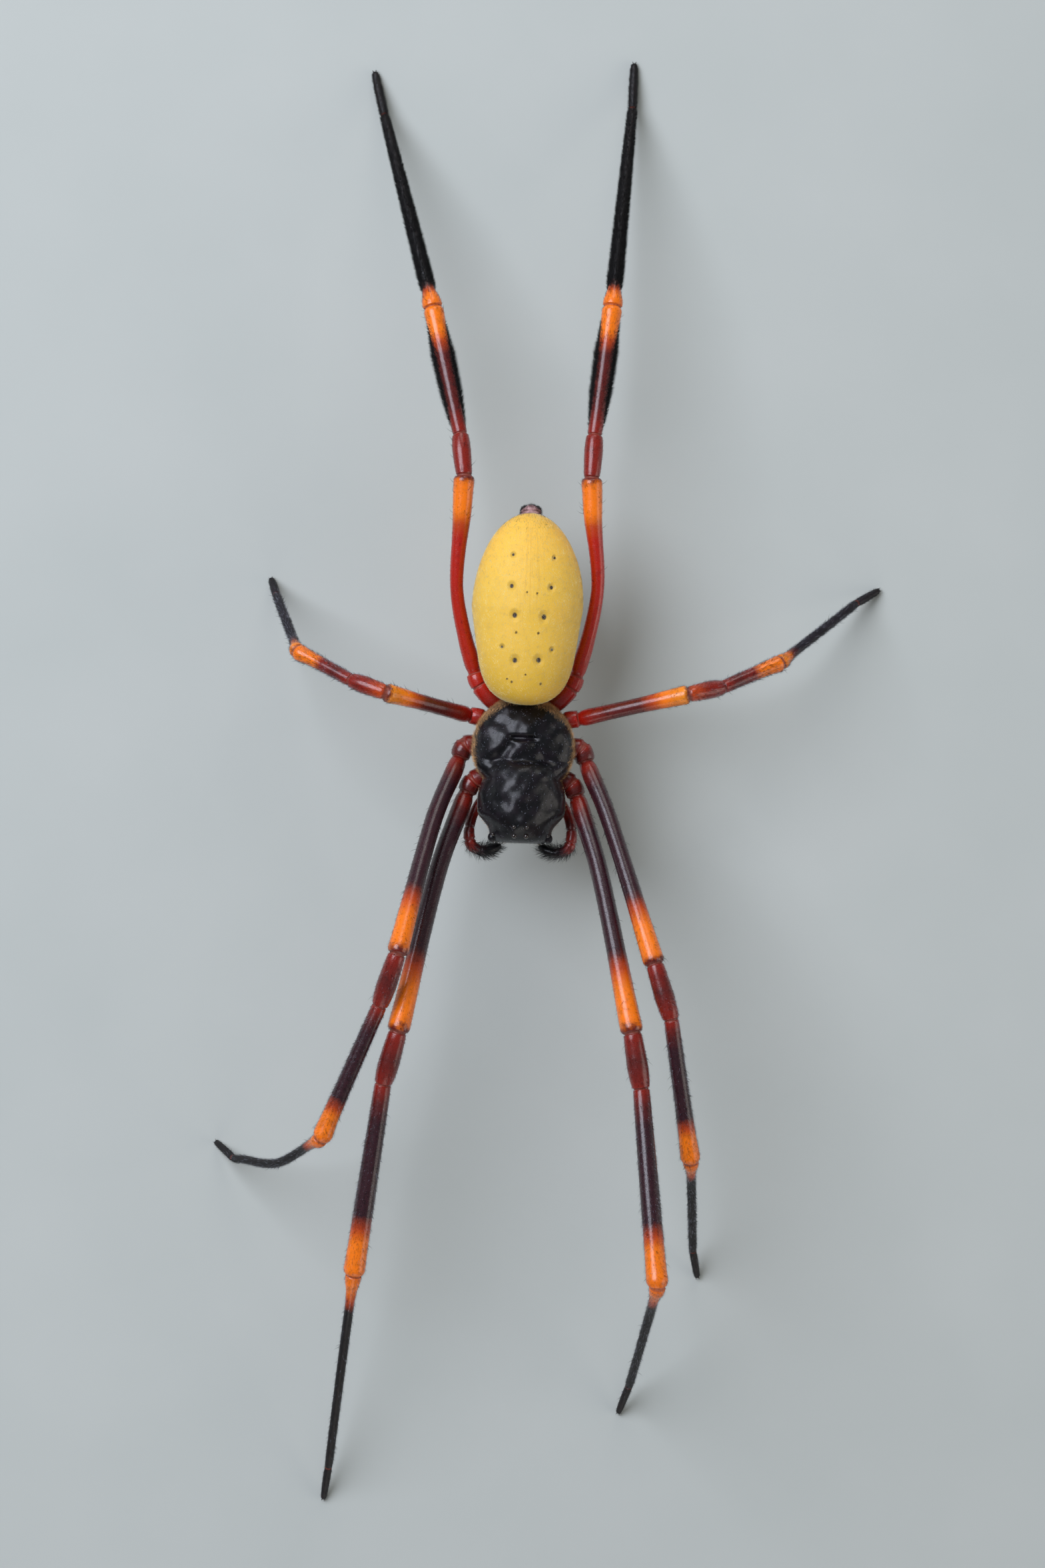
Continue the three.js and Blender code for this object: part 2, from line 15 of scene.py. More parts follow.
import bpy
import numpy as np
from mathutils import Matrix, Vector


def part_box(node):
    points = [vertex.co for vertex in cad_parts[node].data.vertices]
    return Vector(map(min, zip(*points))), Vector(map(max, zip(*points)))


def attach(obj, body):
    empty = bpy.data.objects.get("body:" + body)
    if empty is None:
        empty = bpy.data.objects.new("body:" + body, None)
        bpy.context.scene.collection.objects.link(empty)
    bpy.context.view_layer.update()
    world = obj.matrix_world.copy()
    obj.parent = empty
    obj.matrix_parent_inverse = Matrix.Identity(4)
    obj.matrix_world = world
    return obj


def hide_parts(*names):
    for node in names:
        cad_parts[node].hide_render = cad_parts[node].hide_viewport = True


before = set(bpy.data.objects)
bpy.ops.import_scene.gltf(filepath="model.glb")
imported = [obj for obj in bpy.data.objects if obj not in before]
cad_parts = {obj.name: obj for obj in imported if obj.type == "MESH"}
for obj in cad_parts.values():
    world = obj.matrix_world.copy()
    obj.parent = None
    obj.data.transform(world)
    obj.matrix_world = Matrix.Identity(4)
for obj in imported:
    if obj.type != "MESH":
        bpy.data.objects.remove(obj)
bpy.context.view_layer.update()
MM = 0.001
rng = np.random.default_rng(35)

# %% [markdown]
# ## Where the spider's own frame lies
#
# The CAD group is centred on the floor, but the sizes below are measured from the middle of the thorax. The
# abdomen is symmetric and its front is a named size, so its box tells how far the one frame is shifted from
# the other. That beats typing the shift as a number, which would go stale with the first change of pose.

# %% Shift between the two frames
ABDOMEN_FRONT = 4.3
abdomen_low, abdomen_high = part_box("abdomen")
SHIFT = np.array([(abdomen_low.x + abdomen_high.x) / 2 / MM, abdomen_low.y / MM - ABDOMEN_FRONT, 0.0])


def row_frame(points):
    """Millimetres in the spider's frame to metres in the row frame."""
    return (np.asarray(points, float) + SHIFT) * MM


print("shift in mm:", SHIFT.round(3))

# %% [markdown]
# ## Shader maths as Python
#
# A finish is a network of nodes, and a network is hard to read in code when every link is written out. A
# small class can stand for one output socket and turn +, -, * and / into Math nodes, so a recipe reads like
# a formula. Vectors take Vector Math instead, because a Math node would keep only one number of the three.

# %% A socket that can be calculated with
def worked_out(operation, swapped=False):
    """A method that adds the node for one operation on a socket and a number, a colour or another socket."""
    def work(self, other):
        terms = (other, self) if swapped else (self, other)
        if any(isinstance(t, tuple) or isinstance(t, Wire) and t.socket.type == "VECTOR" for t in terms):
            terms = [(t, t, t) if isinstance(t, (int, float)) else t for t in terms]
            return self.finish.node("ShaderNodeVectorMath", {"operation": operation}, dict(enumerate(terms)))
        return self.finish.node("ShaderNodeMath", {"operation": operation}, dict(enumerate(terms)))
    return work


class Wire:
    """One output socket of a finish. Arithmetic on it adds the nodes that work it out."""

    def __init__(self, finish, socket):
        self.finish = finish
        self.socket = socket

    __add__, __radd__ = worked_out("ADD"), worked_out("ADD", swapped=True)
    __sub__, __rsub__ = worked_out("SUBTRACT"), worked_out("SUBTRACT", swapped=True)
    __mul__, __rmul__ = worked_out("MULTIPLY"), worked_out("MULTIPLY", swapped=True)
    __truediv__, larger = worked_out("DIVIDE"), worked_out("MAXIMUM")

    def ramp_up(self, low, high):
        """0 below low, 1 above high and a smooth rise between them; low may be the larger of the two."""
        sockets = {"Value": self, "From Min": low, "From Max": high}
        return self.finish.node("ShaderNodeMapRange", {"interpolation_type": "SMOOTHSTEP"}, sockets)


print("sockets can be calculated with")


# %% A finish: one material and the few recipes that all of them share
class Finish:
    """A material under construction, with its nodes made through node()."""

    def __init__(self, name):
        self.material = bpy.data.materials.new(name)
        self.material.use_nodes = True
        self.tree = self.material.node_tree
        self.tree.nodes.clear()

    def node(self, kind, settings=None, sockets=None, output=0):
        """A node with its settings made first, then its sockets; gives one of its outputs, if it has any."""
        made = self.tree.nodes.new(kind)
        for name, value in (settings or {}).items():
            if name == "stops":
                self._set_stops(made.color_ramp, value)
            else:
                setattr(made, name, value)
        for name, value in (sockets or {}).items():
            if isinstance(value, Wire):
                self.tree.links.new(value.socket, made.inputs[name])
            else:
                made.inputs[name].default_value = value
        return Wire(self, made.outputs[output]) if made.outputs else None

    def _set_stops(self, ramp, stops):
        while len(ramp.elements) < len(stops):
            ramp.elements.new(0.5)
        for element, (position, colour) in zip(ramp.elements, stops):
            element.position = position
            element.color = (*colour, 1)

    def place(self):
        """Where a point is, in millimetres in the row frame."""
        return self.node("ShaderNodeTexCoord", output="Object") * (1 / MM)

    def noise(self, where, scale, detail=2.0, roughness=0.5):
        sockets = {"Vector": where, "Scale": scale, "Detail": detail, "Roughness": roughness}
        return self.node("ShaderNodeTexNoise", None, sockets)

    def mix(self, share, first, second):
        """first where share is 0 and second where it is 1; both are colours."""
        first, second = [c if isinstance(c, Wire) else (*c, 1) for c in (first, second)]
        return self.node("ShaderNodeMix", {"data_type": "RGBA"}, {0: share, 6: first, 7: second}, output=2)

    def coats(self, colour, *coats):
        """A colour under thin coats, each a share from 0 to 1 and the colour that it brings."""
        for share, coat in coats:
            colour = self.mix(share, colour, coat)
        return colour

    def mark(self, name):
        """A number that add_tube() stored for each ring of a piece."""
        return self.node("ShaderNodeAttribute", {"attribute_name": name}, output=2)

    def spots(self, where, scale):
        """Distance from the middle of the nearest of many scattered cells."""
        return self.node("ShaderNodeTexVoronoi", {"feature": "F1"}, {"Vector": where, "Scale": scale})

    def bump(self, height, depth, under=None):
        """Relief from a height of 0 to 1, depth millimetres deep."""
        sockets = {"Height": height, "Distance": depth * MM, "Strength": 1.0}
        if under:
            sockets["Normal"] = under
        return self.node("ShaderNodeBump", None, sockets)

    def surface(self, **sockets):
        """Ends the finish in a Principled surface; underscores in the names stand for spaces."""
        named = {name.replace("_", " "): value for name, value in sockets.items()}
        shader = self.node("ShaderNodeBsdfPrincipled", None, named)
        self.node("ShaderNodeOutputMaterial", None, {"Surface": shader})
        return self


print("shader helpers are ready")

# %% [markdown]
# ## Surfaces made of rings
#
# Legs, palps, carapace and abdomen are all tubes whose section changes along a line. Each could be a curve
# with a bevel, or a subdivided cage, but a grid of rings keeps every point's share along the tube. That
# share is what the colour bands, the joints and the lie of the hair are worked out from, so the rings are
# made directly.

# %% From rings to a mesh piece
def add_piece(name, points, faces, finish, replaced=()):
    """A smooth mesh from points in the spider's frame, riding on the model's one body."""
    mesh = bpy.data.meshes.new(name)
    mesh.from_pydata(row_frame(points).tolist(), [], faces)
    mesh.polygons.foreach_set("use_smooth", [True] * len(mesh.polygons))
    mesh.materials.append(finish.material)
    piece = bpy.data.objects.new(name, mesh)
    bpy.context.collection.objects.link(piece)
    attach(piece, "root")
    if replaced:
        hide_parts(*replaced)
    return piece


def ring_faces(count, sides):
    """Quads between rings, and a fan that closes each end; the two end points follow the rings."""
    ring, side = np.meshgrid(np.arange(count - 1), np.arange(sides), indexing="ij")
    here, beyond, after = ring * sides, (ring + 1) * sides, (side + 1) % sides
    quads = np.stack([here + side, beyond + side, beyond + after, here + after], -1).reshape(-1, 4)
    first, last, final_ring = count * sides, count * sides + 1, (count - 1) * sides
    start = [(first, k, (k + 1) % sides) for k in range(sides)]
    end = [(last, final_ring + (k + 1) % sides, final_ring + k) for k in range(sides)]
    return quads.tolist() + start + end


def with_ends(rings):
    """The points of a stack of rings, with the middle of the first and of the last ring after them."""
    return np.vstack([rings.reshape(-1, 3), rings[0].mean(0), rings[-1].mean(0)])


def add_tube(name, rings, finish, replaced=(), marks=None):
    """A closed piece from rings; marks gives named numbers for each ring, which the finish can read."""
    count, sides = rings.shape[:2]
    piece = add_piece(name, with_ends(rings), ring_faces(count, sides), finish, replaced)
    for mark, values in (marks or {}).items():
        spread = np.append(np.repeat(values, sides), [values[0], values[-1]])
        piece.data.attributes.new(mark, "FLOAT", "POINT").data.foreach_set("value", spread.astype(np.float32))
    return piece


print("tubes can be made from rings")

# %% A smooth line through knots, with even speed
FEELER = 0.06
LINE_STEPS = 24


def clamp(values):
    """Values held between 0 and 1."""
    return np.clip(values, 0, 1)


def turns(sides):
    """Angles once round a ring."""
    return np.linspace(0, 2 * math.pi, sides, endpoint=False)


def unit(vectors):
    """Vectors of length 1."""
    return vectors / np.maximum(np.linalg.norm(vectors, axis=-1, keepdims=True), 1e-9)


def smooth_line(knots):
    """A centripetal spline through the knots, and the distance along it at each of its points."""
    knots = np.asarray(knots, float)
    knots = np.vstack([2 * knots[0] - knots[1], knots, 2 * knots[-1] - knots[-2]])
    t = np.linspace(0, 1, LINE_STEPS, endpoint=False)[:, None]
    points = []
    for a, b, c, d in zip(knots, knots[1:], knots[2:], knots[3:]):
        before, here, after = [np.linalg.norm(q - p) ** 0.5 for p, q in ((a, b), (b, c), (c, d))]
        leave = ((b - a) / before - (c - a) / (before + here) + (c - b) / here) * here
        arrive = ((c - b) / here - (d - b) / (here + after) + (d - c) / after) * here
        square = -3 * b + 3 * c - 2 * leave - arrive
        cube = 2 * b - 2 * c + leave + arrive
        points.append(b + leave * t + square * t**2 + cube * t**3)
    points = np.vstack([*points, knots[-2]])
    return points, np.append(0, np.cumsum(np.linalg.norm(np.diff(points, axis=0), axis=1)))


def along(line, far, distance):
    """The points at given distances along a line."""
    return np.stack([np.interp(distance, far, line[:, k]) for k in range(3)], 1)


def rings_along(line, far, stations, radii, sides, squeeze=1.0):
    """Rings square to the line, at distances along it; squeeze narrows them from side to side."""
    ahead = unit(along(line, far, stations + FEELER) - along(line, far, stations - FEELER))
    side = unit(np.cross(ahead, (0, 0, 1)))
    above = np.cross(side, ahead)
    turn = turns(sides)[None, :, None]
    across = np.cos(turn) * side[:, None] * squeeze + np.sin(turn) * above[:, None]
    return along(line, far, stations)[:, None] + np.asarray(radii)[:, None, None] * across


print("surface helpers are ready")

# %% [markdown]
# ## Hair
#
# A spider is bristly, and at this size each hair is a thin stiff spike. Particle hair is lost in an export,
# so each hair here is a slender three-sided cone. Roots are drawn at random over the rings, by area and by
# how thickly that part grows hair, and each hair leans along the lie of the coat. Every hair also gets a
# small patch on a map of the skin, at its own root, so a baked copy keeps its colour.

# %% Where the roots stand
def roots(rings, count, thick_where, flanks):
    """For each hair: its ring and side, its place between them, and the corners of the face it stands on."""
    a, b = rings[:-1], rings[1:]
    c, d = np.roll(a, -1, 1), np.roll(b, -1, 1)
    facing = np.cross(d - a, b - c)
    weight = np.linalg.norm(facing, axis=-1)
    sideways = np.linalg.norm(facing[..., :2], axis=-1) / np.maximum(weight, 1e-9)
    weight = weight * (1 - flanks + flanks * sideways**5)
    if thick_where:
        share = (np.arange(len(a)) + 0.5) / len(a)
        weight = weight * thick_where(share[:, None], (a + b + c + d) / 4)
    picked = rng.choice(weight.size, count, p=(weight / weight.sum()).ravel())
    i, j = np.divmod(picked, rings.shape[1])
    s, t = rng.random((2, count, 1))
    return i, j, s, t, [corner[i, j] for corner in (a, b, c, d)]


# %% Growing a coat
HAIR_PATCH = 0.0015
ROOT_DEPTH, ELBOW, ELBOW_THICKNESS, CLEARANCE = 0.04, 0.55, 0.66, 0.06
ANY_WAY = (0.31, 0.52, 0.79)
CORNERS = [(math.cos(k), math.sin(k)) for k in (0, 2 * math.pi / 3, 4 * math.pi / 3)]
STRAIGHT_FACES = [(0, 1, 3), (1, 2, 3), (2, 0, 3)]
CURVED_FACES = [(0, 1, 4), (0, 4, 3), (1, 2, 5), (1, 5, 4), (2, 0, 3), (2, 3, 5), (3, 4, 6), (4, 5, 6),
                (5, 3, 6)]
coat_faces = []


def grow(name, rings, count, length, thickness, lean, finish, thick_where=None, sway=0.35, way=1.0,
         curl=0.0, long_where=None, flanks=0.0):
    """count hairs over a tube of rings. lean is 0 for upright hair and 90 for flat, way -1 turns the lie
    back, and flanks from 0 to 1 keeps the hair more and more to the two sides of a level tube."""
    i, j, s, t, (a, b, c, d) = roots(rings, count, thick_where, flanks)
    root = (a * (1 - s) + b * s) * (1 - t) + (c * (1 - s) + d * s) * t
    ahead = unit((b - a) * (1 - t) + (d - c) * t)
    out = unit(np.cross(ahead, (c - a) * (1 - s) + (d - b) * s))
    tilt = np.radians(lean + rng.normal(0, 9, (count, 1)))
    drift = rng.normal(0, sway, (count, 1))
    lie = way * ahead + drift * np.cross(out, ahead)
    first = unit(np.cos(tilt) * out + np.sin(tilt) * lie)
    second = unit(first + curl * (way * ahead - 0.4 * out))
    reach = length * rng.uniform(0.55, 1.1, (count, 1))
    if long_where:
        reach = reach * np.reshape(long_where((i[:, None] + 0.5) / (len(rings) - 1), root), (count, 1))
    elbow = root + first * reach * ELBOW
    tip = elbow + second * reach * (1 - ELBOW)
    kept = np.minimum(tip, elbow)[:, 2] > CLEARANCE
    first, root, elbow, tip, i, j, s, t = [x[kept] for x in (first, root, elbow, tip, i, j, s, t)]
    left = unit(np.cross(first, ANY_WAY))
    edges = [x * left + y * np.cross(first, left) for x, y in CORNERS]
    low = [root - ROOT_DEPTH * first + thickness * edge for edge in edges]
    high = [elbow + ELBOW_THICKNESS * thickness * edge for edge in edges] if curl else []
    points = np.stack([*low, *high, tip], 1)
    shape = np.array(CURVED_FACES if curl else STRAIGHT_FACES)
    faces = (np.arange(len(points))[:, None, None] * points.shape[1] + shape).reshape(-1, 3)
    piece = add_piece(name, points.reshape(-1, 3), faces.tolist(), finish)
    patch = np.array([*CORNERS, *[(x / 2, y / 2) for x, y in CORNERS if curl], (0, 0)])
    spot = np.hstack([(j[:, None] + t) / rings.shape[1], (i[:, None] + s) / (len(rings) - 1)])
    where = (spot[:, None] + HAIR_PATCH * patch).reshape(-1, 2)
    layer = piece.data.uv_layers.new(name="OFBake")
    layer.data.foreach_set("uv", where[faces.ravel()].astype(np.float32).ravel())
    coat_faces.append(len(faces))


print("a straight hair has", len(STRAIGHT_FACES), "faces and a curved one", len(CURVED_FACES))


# %% Hair finishes
def hair_finish(name, colour, roughness, specular=0.5):
    """Stiff hair: one hue that varies from patch to patch, with a soft gloss."""
    finish = Finish(name)
    patches = finish.noise(finish.place(), 1.4, detail=3)
    darker, lighter = [0.6 * c for c in colour], [min(1.5 * c + 0.002, 1) for c in colour]
    base = finish.mix(patches.ramp_up(0.35, 0.68), darker, lighter)
    return finish.surface(Base_Color=base, Roughness=roughness + patches * 0.15, Specular_IOR_Level=specular)


black_hair = hair_finish("black_hair", (0.004, 0.0035, 0.004), 0.45, specular=0.2)
tan_hair = hair_finish("tan_hair", (0.58, 0.34, 0.15), 0.5)
pale_hair = hair_finish("pale_hair", (0.80, 0.66, 0.40), 0.5)
# Silver hair: real pale hair on the carapace; on the flanks of legs I to III its bluish silver is a painted
# glint of light on black hair.
silver_hair_and_painted_glint = hair_finish("silver_hair_and_painted_glint", (0.48, 0.50, 0.62), 0.45)
print("four hair finishes")

# %% [markdown]
# ## Legs: the route of each
#
# A leg runs from its coxa under the body through seven joints to the claws. The solids were laid along a
# smooth line through the joints, so the same line is made here from the same sizes and angles: each segment
# has a length, a heading from straight ahead and a pitch above the horizon. The metatarsus slopes just
# enough to reach the floor.

# %% Leg sizes and pose
SIDES = {"right": -1, "left": 1}
SEGMENTS = ["coxa", "femur", "patella", "tibia", "metatarsus", "tarsus"]
LEG_SIZES = {
    1: Sizes(root=(2.0, -2.75, 10.7), end=(5.75, -5.0, 11.0), turn=28, coxa=1.15,
             lengths=(27.2, 5.8, 20.5, 24.9, 4.2),
             radii=((1.0, 0.98, 1.12), (1.02, 1.16, 0.99), (0.92, 1.06, 1.12), (0.5, 0.47, 0.42),
                    (0.42, 0.4, 0.3))),
    2: Sizes(root=(2.55, -0.7, 10.7), end=(6.6, -1.4, 11.0), turn=24, coxa=1.15,
             lengths=(24.2, 5.9, 15.4, 18.1, 3.8),
             radii=((0.95, 0.93, 1.06), (0.97, 1.09, 0.92), (0.82, 0.88, 1.02), (0.48, 0.46, 0.4),
                    (0.4, 0.39, 0.3))),
    3: Sizes(root=(2.45, 1.35, 10.7), end=(5.75, 3.1, 11.0), turn=100, coxa=1.0,
             lengths=(12.3, 4.1, 7.2, 13.3, 3.4),
             radii=((0.87, 0.82, 0.95), (0.87, 0.97, 0.82), (0.72, 0.74, 0.88), (0.48, 0.46, 0.42),
                    (0.42, 0.4, 0.3))),
    4: Sizes(root=(1.6, 3.2, 10.7), end=(5.3, 7.6, 11.0), turn=155, coxa=1.1,
             lengths=(20.8, 4.5, 14.0, 23.3, 5.0),
             radii=((0.86, 0.7, 1.04), (0.9, 1.02, 0.92), (0.8, 0.94, 1.04), (0.62, 0.56, 0.43),
                    (0.43, 0.45, 0.34))),
}
LEG_POSES = {
    "leg_1_right": Sizes(headings=(-14, -14, -7, -6, -7.5), pitches=(19.5, -15, -9.5, -31),
                         bows={0: [(0.3, -0.6)]}),
    "leg_1_left": Sizes(headings=(15, 11, 6.5, -10.5, -18), pitches=(23, -4.5, 9.5, -40),
                        bows={0: [(0.3, 0.5)]}),
    "leg_2_right": Sizes(headings=(-15.5, -17, -22, -72, -127), pitches=(29, -17, -11, -48),
                         bows={0: [(0.3, -0.6)], 3: [(0.55, 1.5)]}),
    "leg_2_left": Sizes(headings=(20.5, 18.5, 10, 5, 12), pitches=(24.5, 1.5, -14, -38),
                        bows={0: [(0.25, 0.35)]}),
    "leg_3_right": Sizes(headings=(-103, -108, -116.5, -155, -158.5), pitches=(43.5, -22, -28.5, -56.5),
                         bows={}),
    "leg_3_left": Sizes(headings=(104.5, 104, 115, 129.5, 122), pitches=(18.5, -27, -23, -32.5), bows={}),
    "leg_4_right": Sizes(headings=(-175, -172.5, -166, -164, -165.5), pitches=(10.5, -16, -12.5, -17),
                         bows={0: [(0.16, 0.75), (0.43, 1.4), (0.8, 0.45)]}),
    "leg_4_left": Sizes(headings=(177.5, 178, 174, 176, 179.5), pitches=(7.5, -9, -12, -13.5),
                        bows={0: [(0.16, -0.8), (0.45, -1.5), (0.8, -0.45)]}),
}
ARCHES = (0.025, 0.02, 0.01, 0.03, 0)
JOINT_BEND = 1.8
FOOT_HEIGHT = 0.16
TROCHANTER = 1.45


def direction(heading, pitch):
    """A step of 1 mm, with the heading counted from the head of the spider towards its left side."""
    turn, rise = math.radians(heading), math.radians(pitch)
    return np.array([math.sin(turn) * math.cos(rise), -math.cos(turn) * math.cos(rise), math.sin(rise)])


def leg_route(name):
    """The leg's line, the distance along it, and the distance of each joint from the coxa's root on."""
    sizes, pose, side = LEG_SIZES[int(name[4])], LEG_POSES[name], SIDES[name.split("_")[2]]
    root, at = np.array([sizes.root, sizes.end]) * (side, 1, 1)
    knots = [root, at - direction(side * sizes.turn, 0) * TROCHANTER, at]
    joints = [0, 2]
    *upper_pitches, tarsus_pitch = pose.pitches
    tarsus_drop = sizes.lengths[4] * math.sin(math.radians(-tarsus_pitch))
    for i, length in enumerate(sizes.lengths):
        to_floor = -math.degrees(math.asin(min((at[2] - FOOT_HEIGHT - tarsus_drop) / length, 1)))
        ahead = direction(pose.headings[i], [*upper_pitches, to_floor, tarsus_pitch][i])
        port = unit(np.array([-ahead[1], ahead[0], 0]))
        near, bow = min(JOINT_BEND / length, 0.3), pose.bows.get(i, [])
        for share in [near, *([share for share, _ in bow] or [0.5]), 1 - near]:
            shift = np.interp(share, *np.transpose([(0, 0), *bow, (1, 0)]))
            rise = ARCHES[i] * length * 4 * share * (1 - share)
            knots.append(at + ahead * length * share + port * shift + np.array([0, 0, rise]))
        at = at + ahead * length
        knots.append(at)
        joints.append(len(knots) - 1)
    line, far = smooth_line(knots)
    return line, far, far[[k * LINE_STEPS for k in joints]]


for name in LEG_POSES:
    line, far, joints = leg_route(name)
    print(name, "is", round(far[-1], 1), "mm long and its foot stands at", line[-1].round(1))

# %% [markdown]
# ## Legs: the shell
#
# Each segment of the real leg is a hard glossy tube that flares at its far end, where a dark rim overhangs
# the soft membrane of the joint. One continuous skin carries all of them, with a narrow waist at every
# joint, so nothing shows a seam. Rings stand close together at the joints and wide apart between them.

# %% Radius along a leg
OUTLINES = {
    "femur": lambda a, b, c: [
        (0, a * 0.8), (0.02, a * 0.97), (0.07, a * 1.03), (0.2, (a + b) / 2), (0.45, b),
        (0.66, (2 * b + c) / 3), (0.84, c), (0.965, c * 1.08), (0.99, c * 1.1), (1, c * 0.95)],
    "patella": lambda a, b, c: [
        (0, a * 0.94), (0.06, a), (0.3, (a + b) / 2), (0.62, b), (0.86, (b + c) / 2), (0.96, c),
        (1, c * 0.96)],
    "tibia": lambda a, b, c: [
        (0, a * 0.96), (0.04, a), (0.3, (a + b) / 2), (0.6, b), (0.84, (b + c) / 2), (0.955, c * 1.04),
        (0.985, c * 1.06), (1, c * 0.88)],
    "metatarsus": lambda a, b, c: [
        (0, a * 1.75), (0.025, a * 1.7), (0.07, a * 1.2), (0.13, a), (0.45, b), (0.8, (b + c) / 2),
        (0.98, c * 1.04), (1, c * 0.95)],
    "tarsus": lambda a, b, c: [(0, a * 0.92), (0.08, a), (0.5, b), (0.86, (b + c) / 2), (1, c)],
}
COXA_OUTLINE = [(0, 0.7), (0.25, 0.88), (0.6, 1.0), (0.94, 0.98)]
TROCHANTER_OUTLINE = [(0.12, 0.93), (0.5, 0.96), (0.95, 0.88)]
JOINT_GAP, FINE_STEP, BLUR, BLUR_STEPS = 0.15, 0.04, 0.10, 12
RING_SPACING, TIP_ROUNDING = 0.3, 0.3
NEAR_SEAM = (-0.6, -0.35, -0.24, -0.17, -0.13, -0.08, 0, 0.08, 0.13, 0.17, 0.24, 0.35, 0.6)
NEAR_TIP = (0.5, 0.3, 0.2, 0.12, 0.06, 0.02, 0)
RIM, WAIST, MEMBRANE_HALF = 0.15, 0.15, 0.14


def leg_profile(name, joints):
    """Stations along a leg, with the radius, the mark (segment plus share of it) and the membrane at each."""
    sizes = LEG_SIZES[int(name[4])]
    thick, hinge = sizes.coxa, joints[1] - TROCHANTER
    table = [(share * hinge, thick * r) for share, r in COXA_OUTLINE]
    table += [(hinge + share * TROCHANTER, thick * r) for share, r in TROCHANTER_OUTLINE]
    for segment, radii, start, end in zip(SEGMENTS[1:], sizes.radii, joints[1:], joints[2:]):
        length = end - start - 2 * JOINT_GAP
        table += [(start + JOINT_GAP + share * length, r) for share, r in OUTLINES[segment](*radii)]
    fine = np.arange(0, joints[-1], FINE_STEP)
    radius = np.interp(fine, *np.array(table).T)
    blur = np.exp(-0.5 * (np.arange(-BLUR_STEPS, BLUR_STEPS + 1) * FINE_STEP / BLUR) ** 2)
    radius = np.convolve(np.pad(radius, BLUR_STEPS, mode="edge"), blur / blur.sum(), "valid")
    seams = np.append(hinge, joints[1:-1])
    close = np.concatenate([np.add.outer(seams, NEAR_SEAM).ravel(), joints[-1] - np.array(NEAR_TIP)])
    stations = np.unique(np.concatenate([np.arange(0, joints[-1], RING_SPACING), close]))
    depth = np.abs(stations[:, None] - seams[None]).min(1)
    radius = np.interp(stations, fine, radius) * (1 - WAIST * clamp((RIM - depth) / 0.08))
    to_end = clamp((joints[-1] - stations) / TIP_ROUNDING)
    radius *= np.sqrt(1 - (1 - to_end) ** 2) * 0.97 + 0.03
    mark = np.interp(stations, joints, np.arange(len(joints)))
    return stations, radius, mark, clamp((MEMBRANE_HALF - depth) / 0.07)


print("outlines of the coxa, the trochanter and", len(OUTLINES), "segments")

# %% [markdown]
# ## Legs: the banded finish
#
# The bands are what names this spider. The front legs are purple-black with orange ends to the femur and
# tibia, the hind legs are red with the same orange, and all the feet are black. A colour ramp read along
# the leg gives soft edges between bands, a little noise keeps those edges from being drawn with a ruler,
# and fine lengthwise streaks and a faint mottle stop any band from being one flat colour.

# %% Bands and finish for each pair of legs
RED, SCARLET, DEEP_RED = (0.44, 0.011, 0.003), (0.43, 0.016, 0.004), (0.24, 0.012, 0.005)
MAROON, PLUM, RUST = (0.105, 0.009, 0.007), (0.030, 0.007, 0.012), (0.50, 0.055, 0.004)
ORANGE, AMBER, RIM_BROWN = (0.96, 0.20, 0.003), (0.92, 0.27, 0.012), (0.13, 0.010, 0.005)
BLACK, BLUE_BLACK, MEMBRANE = (0.0035, 0.0035, 0.004), (0.012, 0.010, 0.020), (0.26, 0.060, 0.035)
LEG_BANDS = {
    1: [(0.0, PLUM), (0.5, MAROON), (0.74, DEEP_RED), (0.80, MAROON), (1.0, MAROON), (1.04, DEEP_RED),
        (1.08, MAROON), (1.16, PLUM), (1.68, PLUM), (1.75, RUST), (1.83, ORANGE), (1.965, ORANGE),
        (1.99, RIM_BROWN), (2.04, DEEP_RED), (2.5, MAROON), (2.96, DEEP_RED), (3.02, DEEP_RED),
        (3.08, MAROON), (3.2, PLUM), (3.68, PLUM), (3.76, RUST), (3.82, ORANGE), (3.98, ORANGE),
        (4.0, RUST), (4.01, ORANGE), (4.06, ORANGE), (4.12, RUST), (4.17, BLACK), (6.0, BLACK)],
    3: [(0.0, MAROON), (0.55, DEEP_RED), (0.9, RED), (1.06, RED), (1.16, DEEP_RED), (1.35, MAROON),
        (1.58, MAROON), (1.70, RUST), (1.79, ORANGE), (1.97, AMBER), (1.99, RIM_BROWN), (2.06, RUST),
        (2.5, DEEP_RED), (2.97, DEEP_RED), (3.04, DEEP_RED), (3.25, MAROON), (3.52, DEEP_RED), (3.64, ORANGE),
        (3.97, ORANGE), (3.99, RUST), (4.02, AMBER), (4.08, ORANGE), (4.13, MAROON), (4.2, BLUE_BLACK),
        (6.0, BLACK)],
    4: [(0.0, DEEP_RED), (0.4, DEEP_RED), (0.66, RED), (0.80, RED), (0.95, SCARLET), (1.2, SCARLET),
        (1.5, RED), (1.69, RED), (1.76, RUST), (1.82, ORANGE), (1.965, ORANGE), (1.985, RIM_BROWN),
        (2.05, DEEP_RED), (2.5, DEEP_RED), (2.96, DEEP_RED), (3.04, DEEP_RED), (3.22, MAROON), (3.62, MAROON),
        (3.72, RUST), (3.79, ORANGE), (3.985, ORANGE), (4.0, RUST), (4.01, ORANGE), (4.05, ORANGE),
        (4.08, RUST), (4.105, BLACK), (6.0, BLACK)],
}


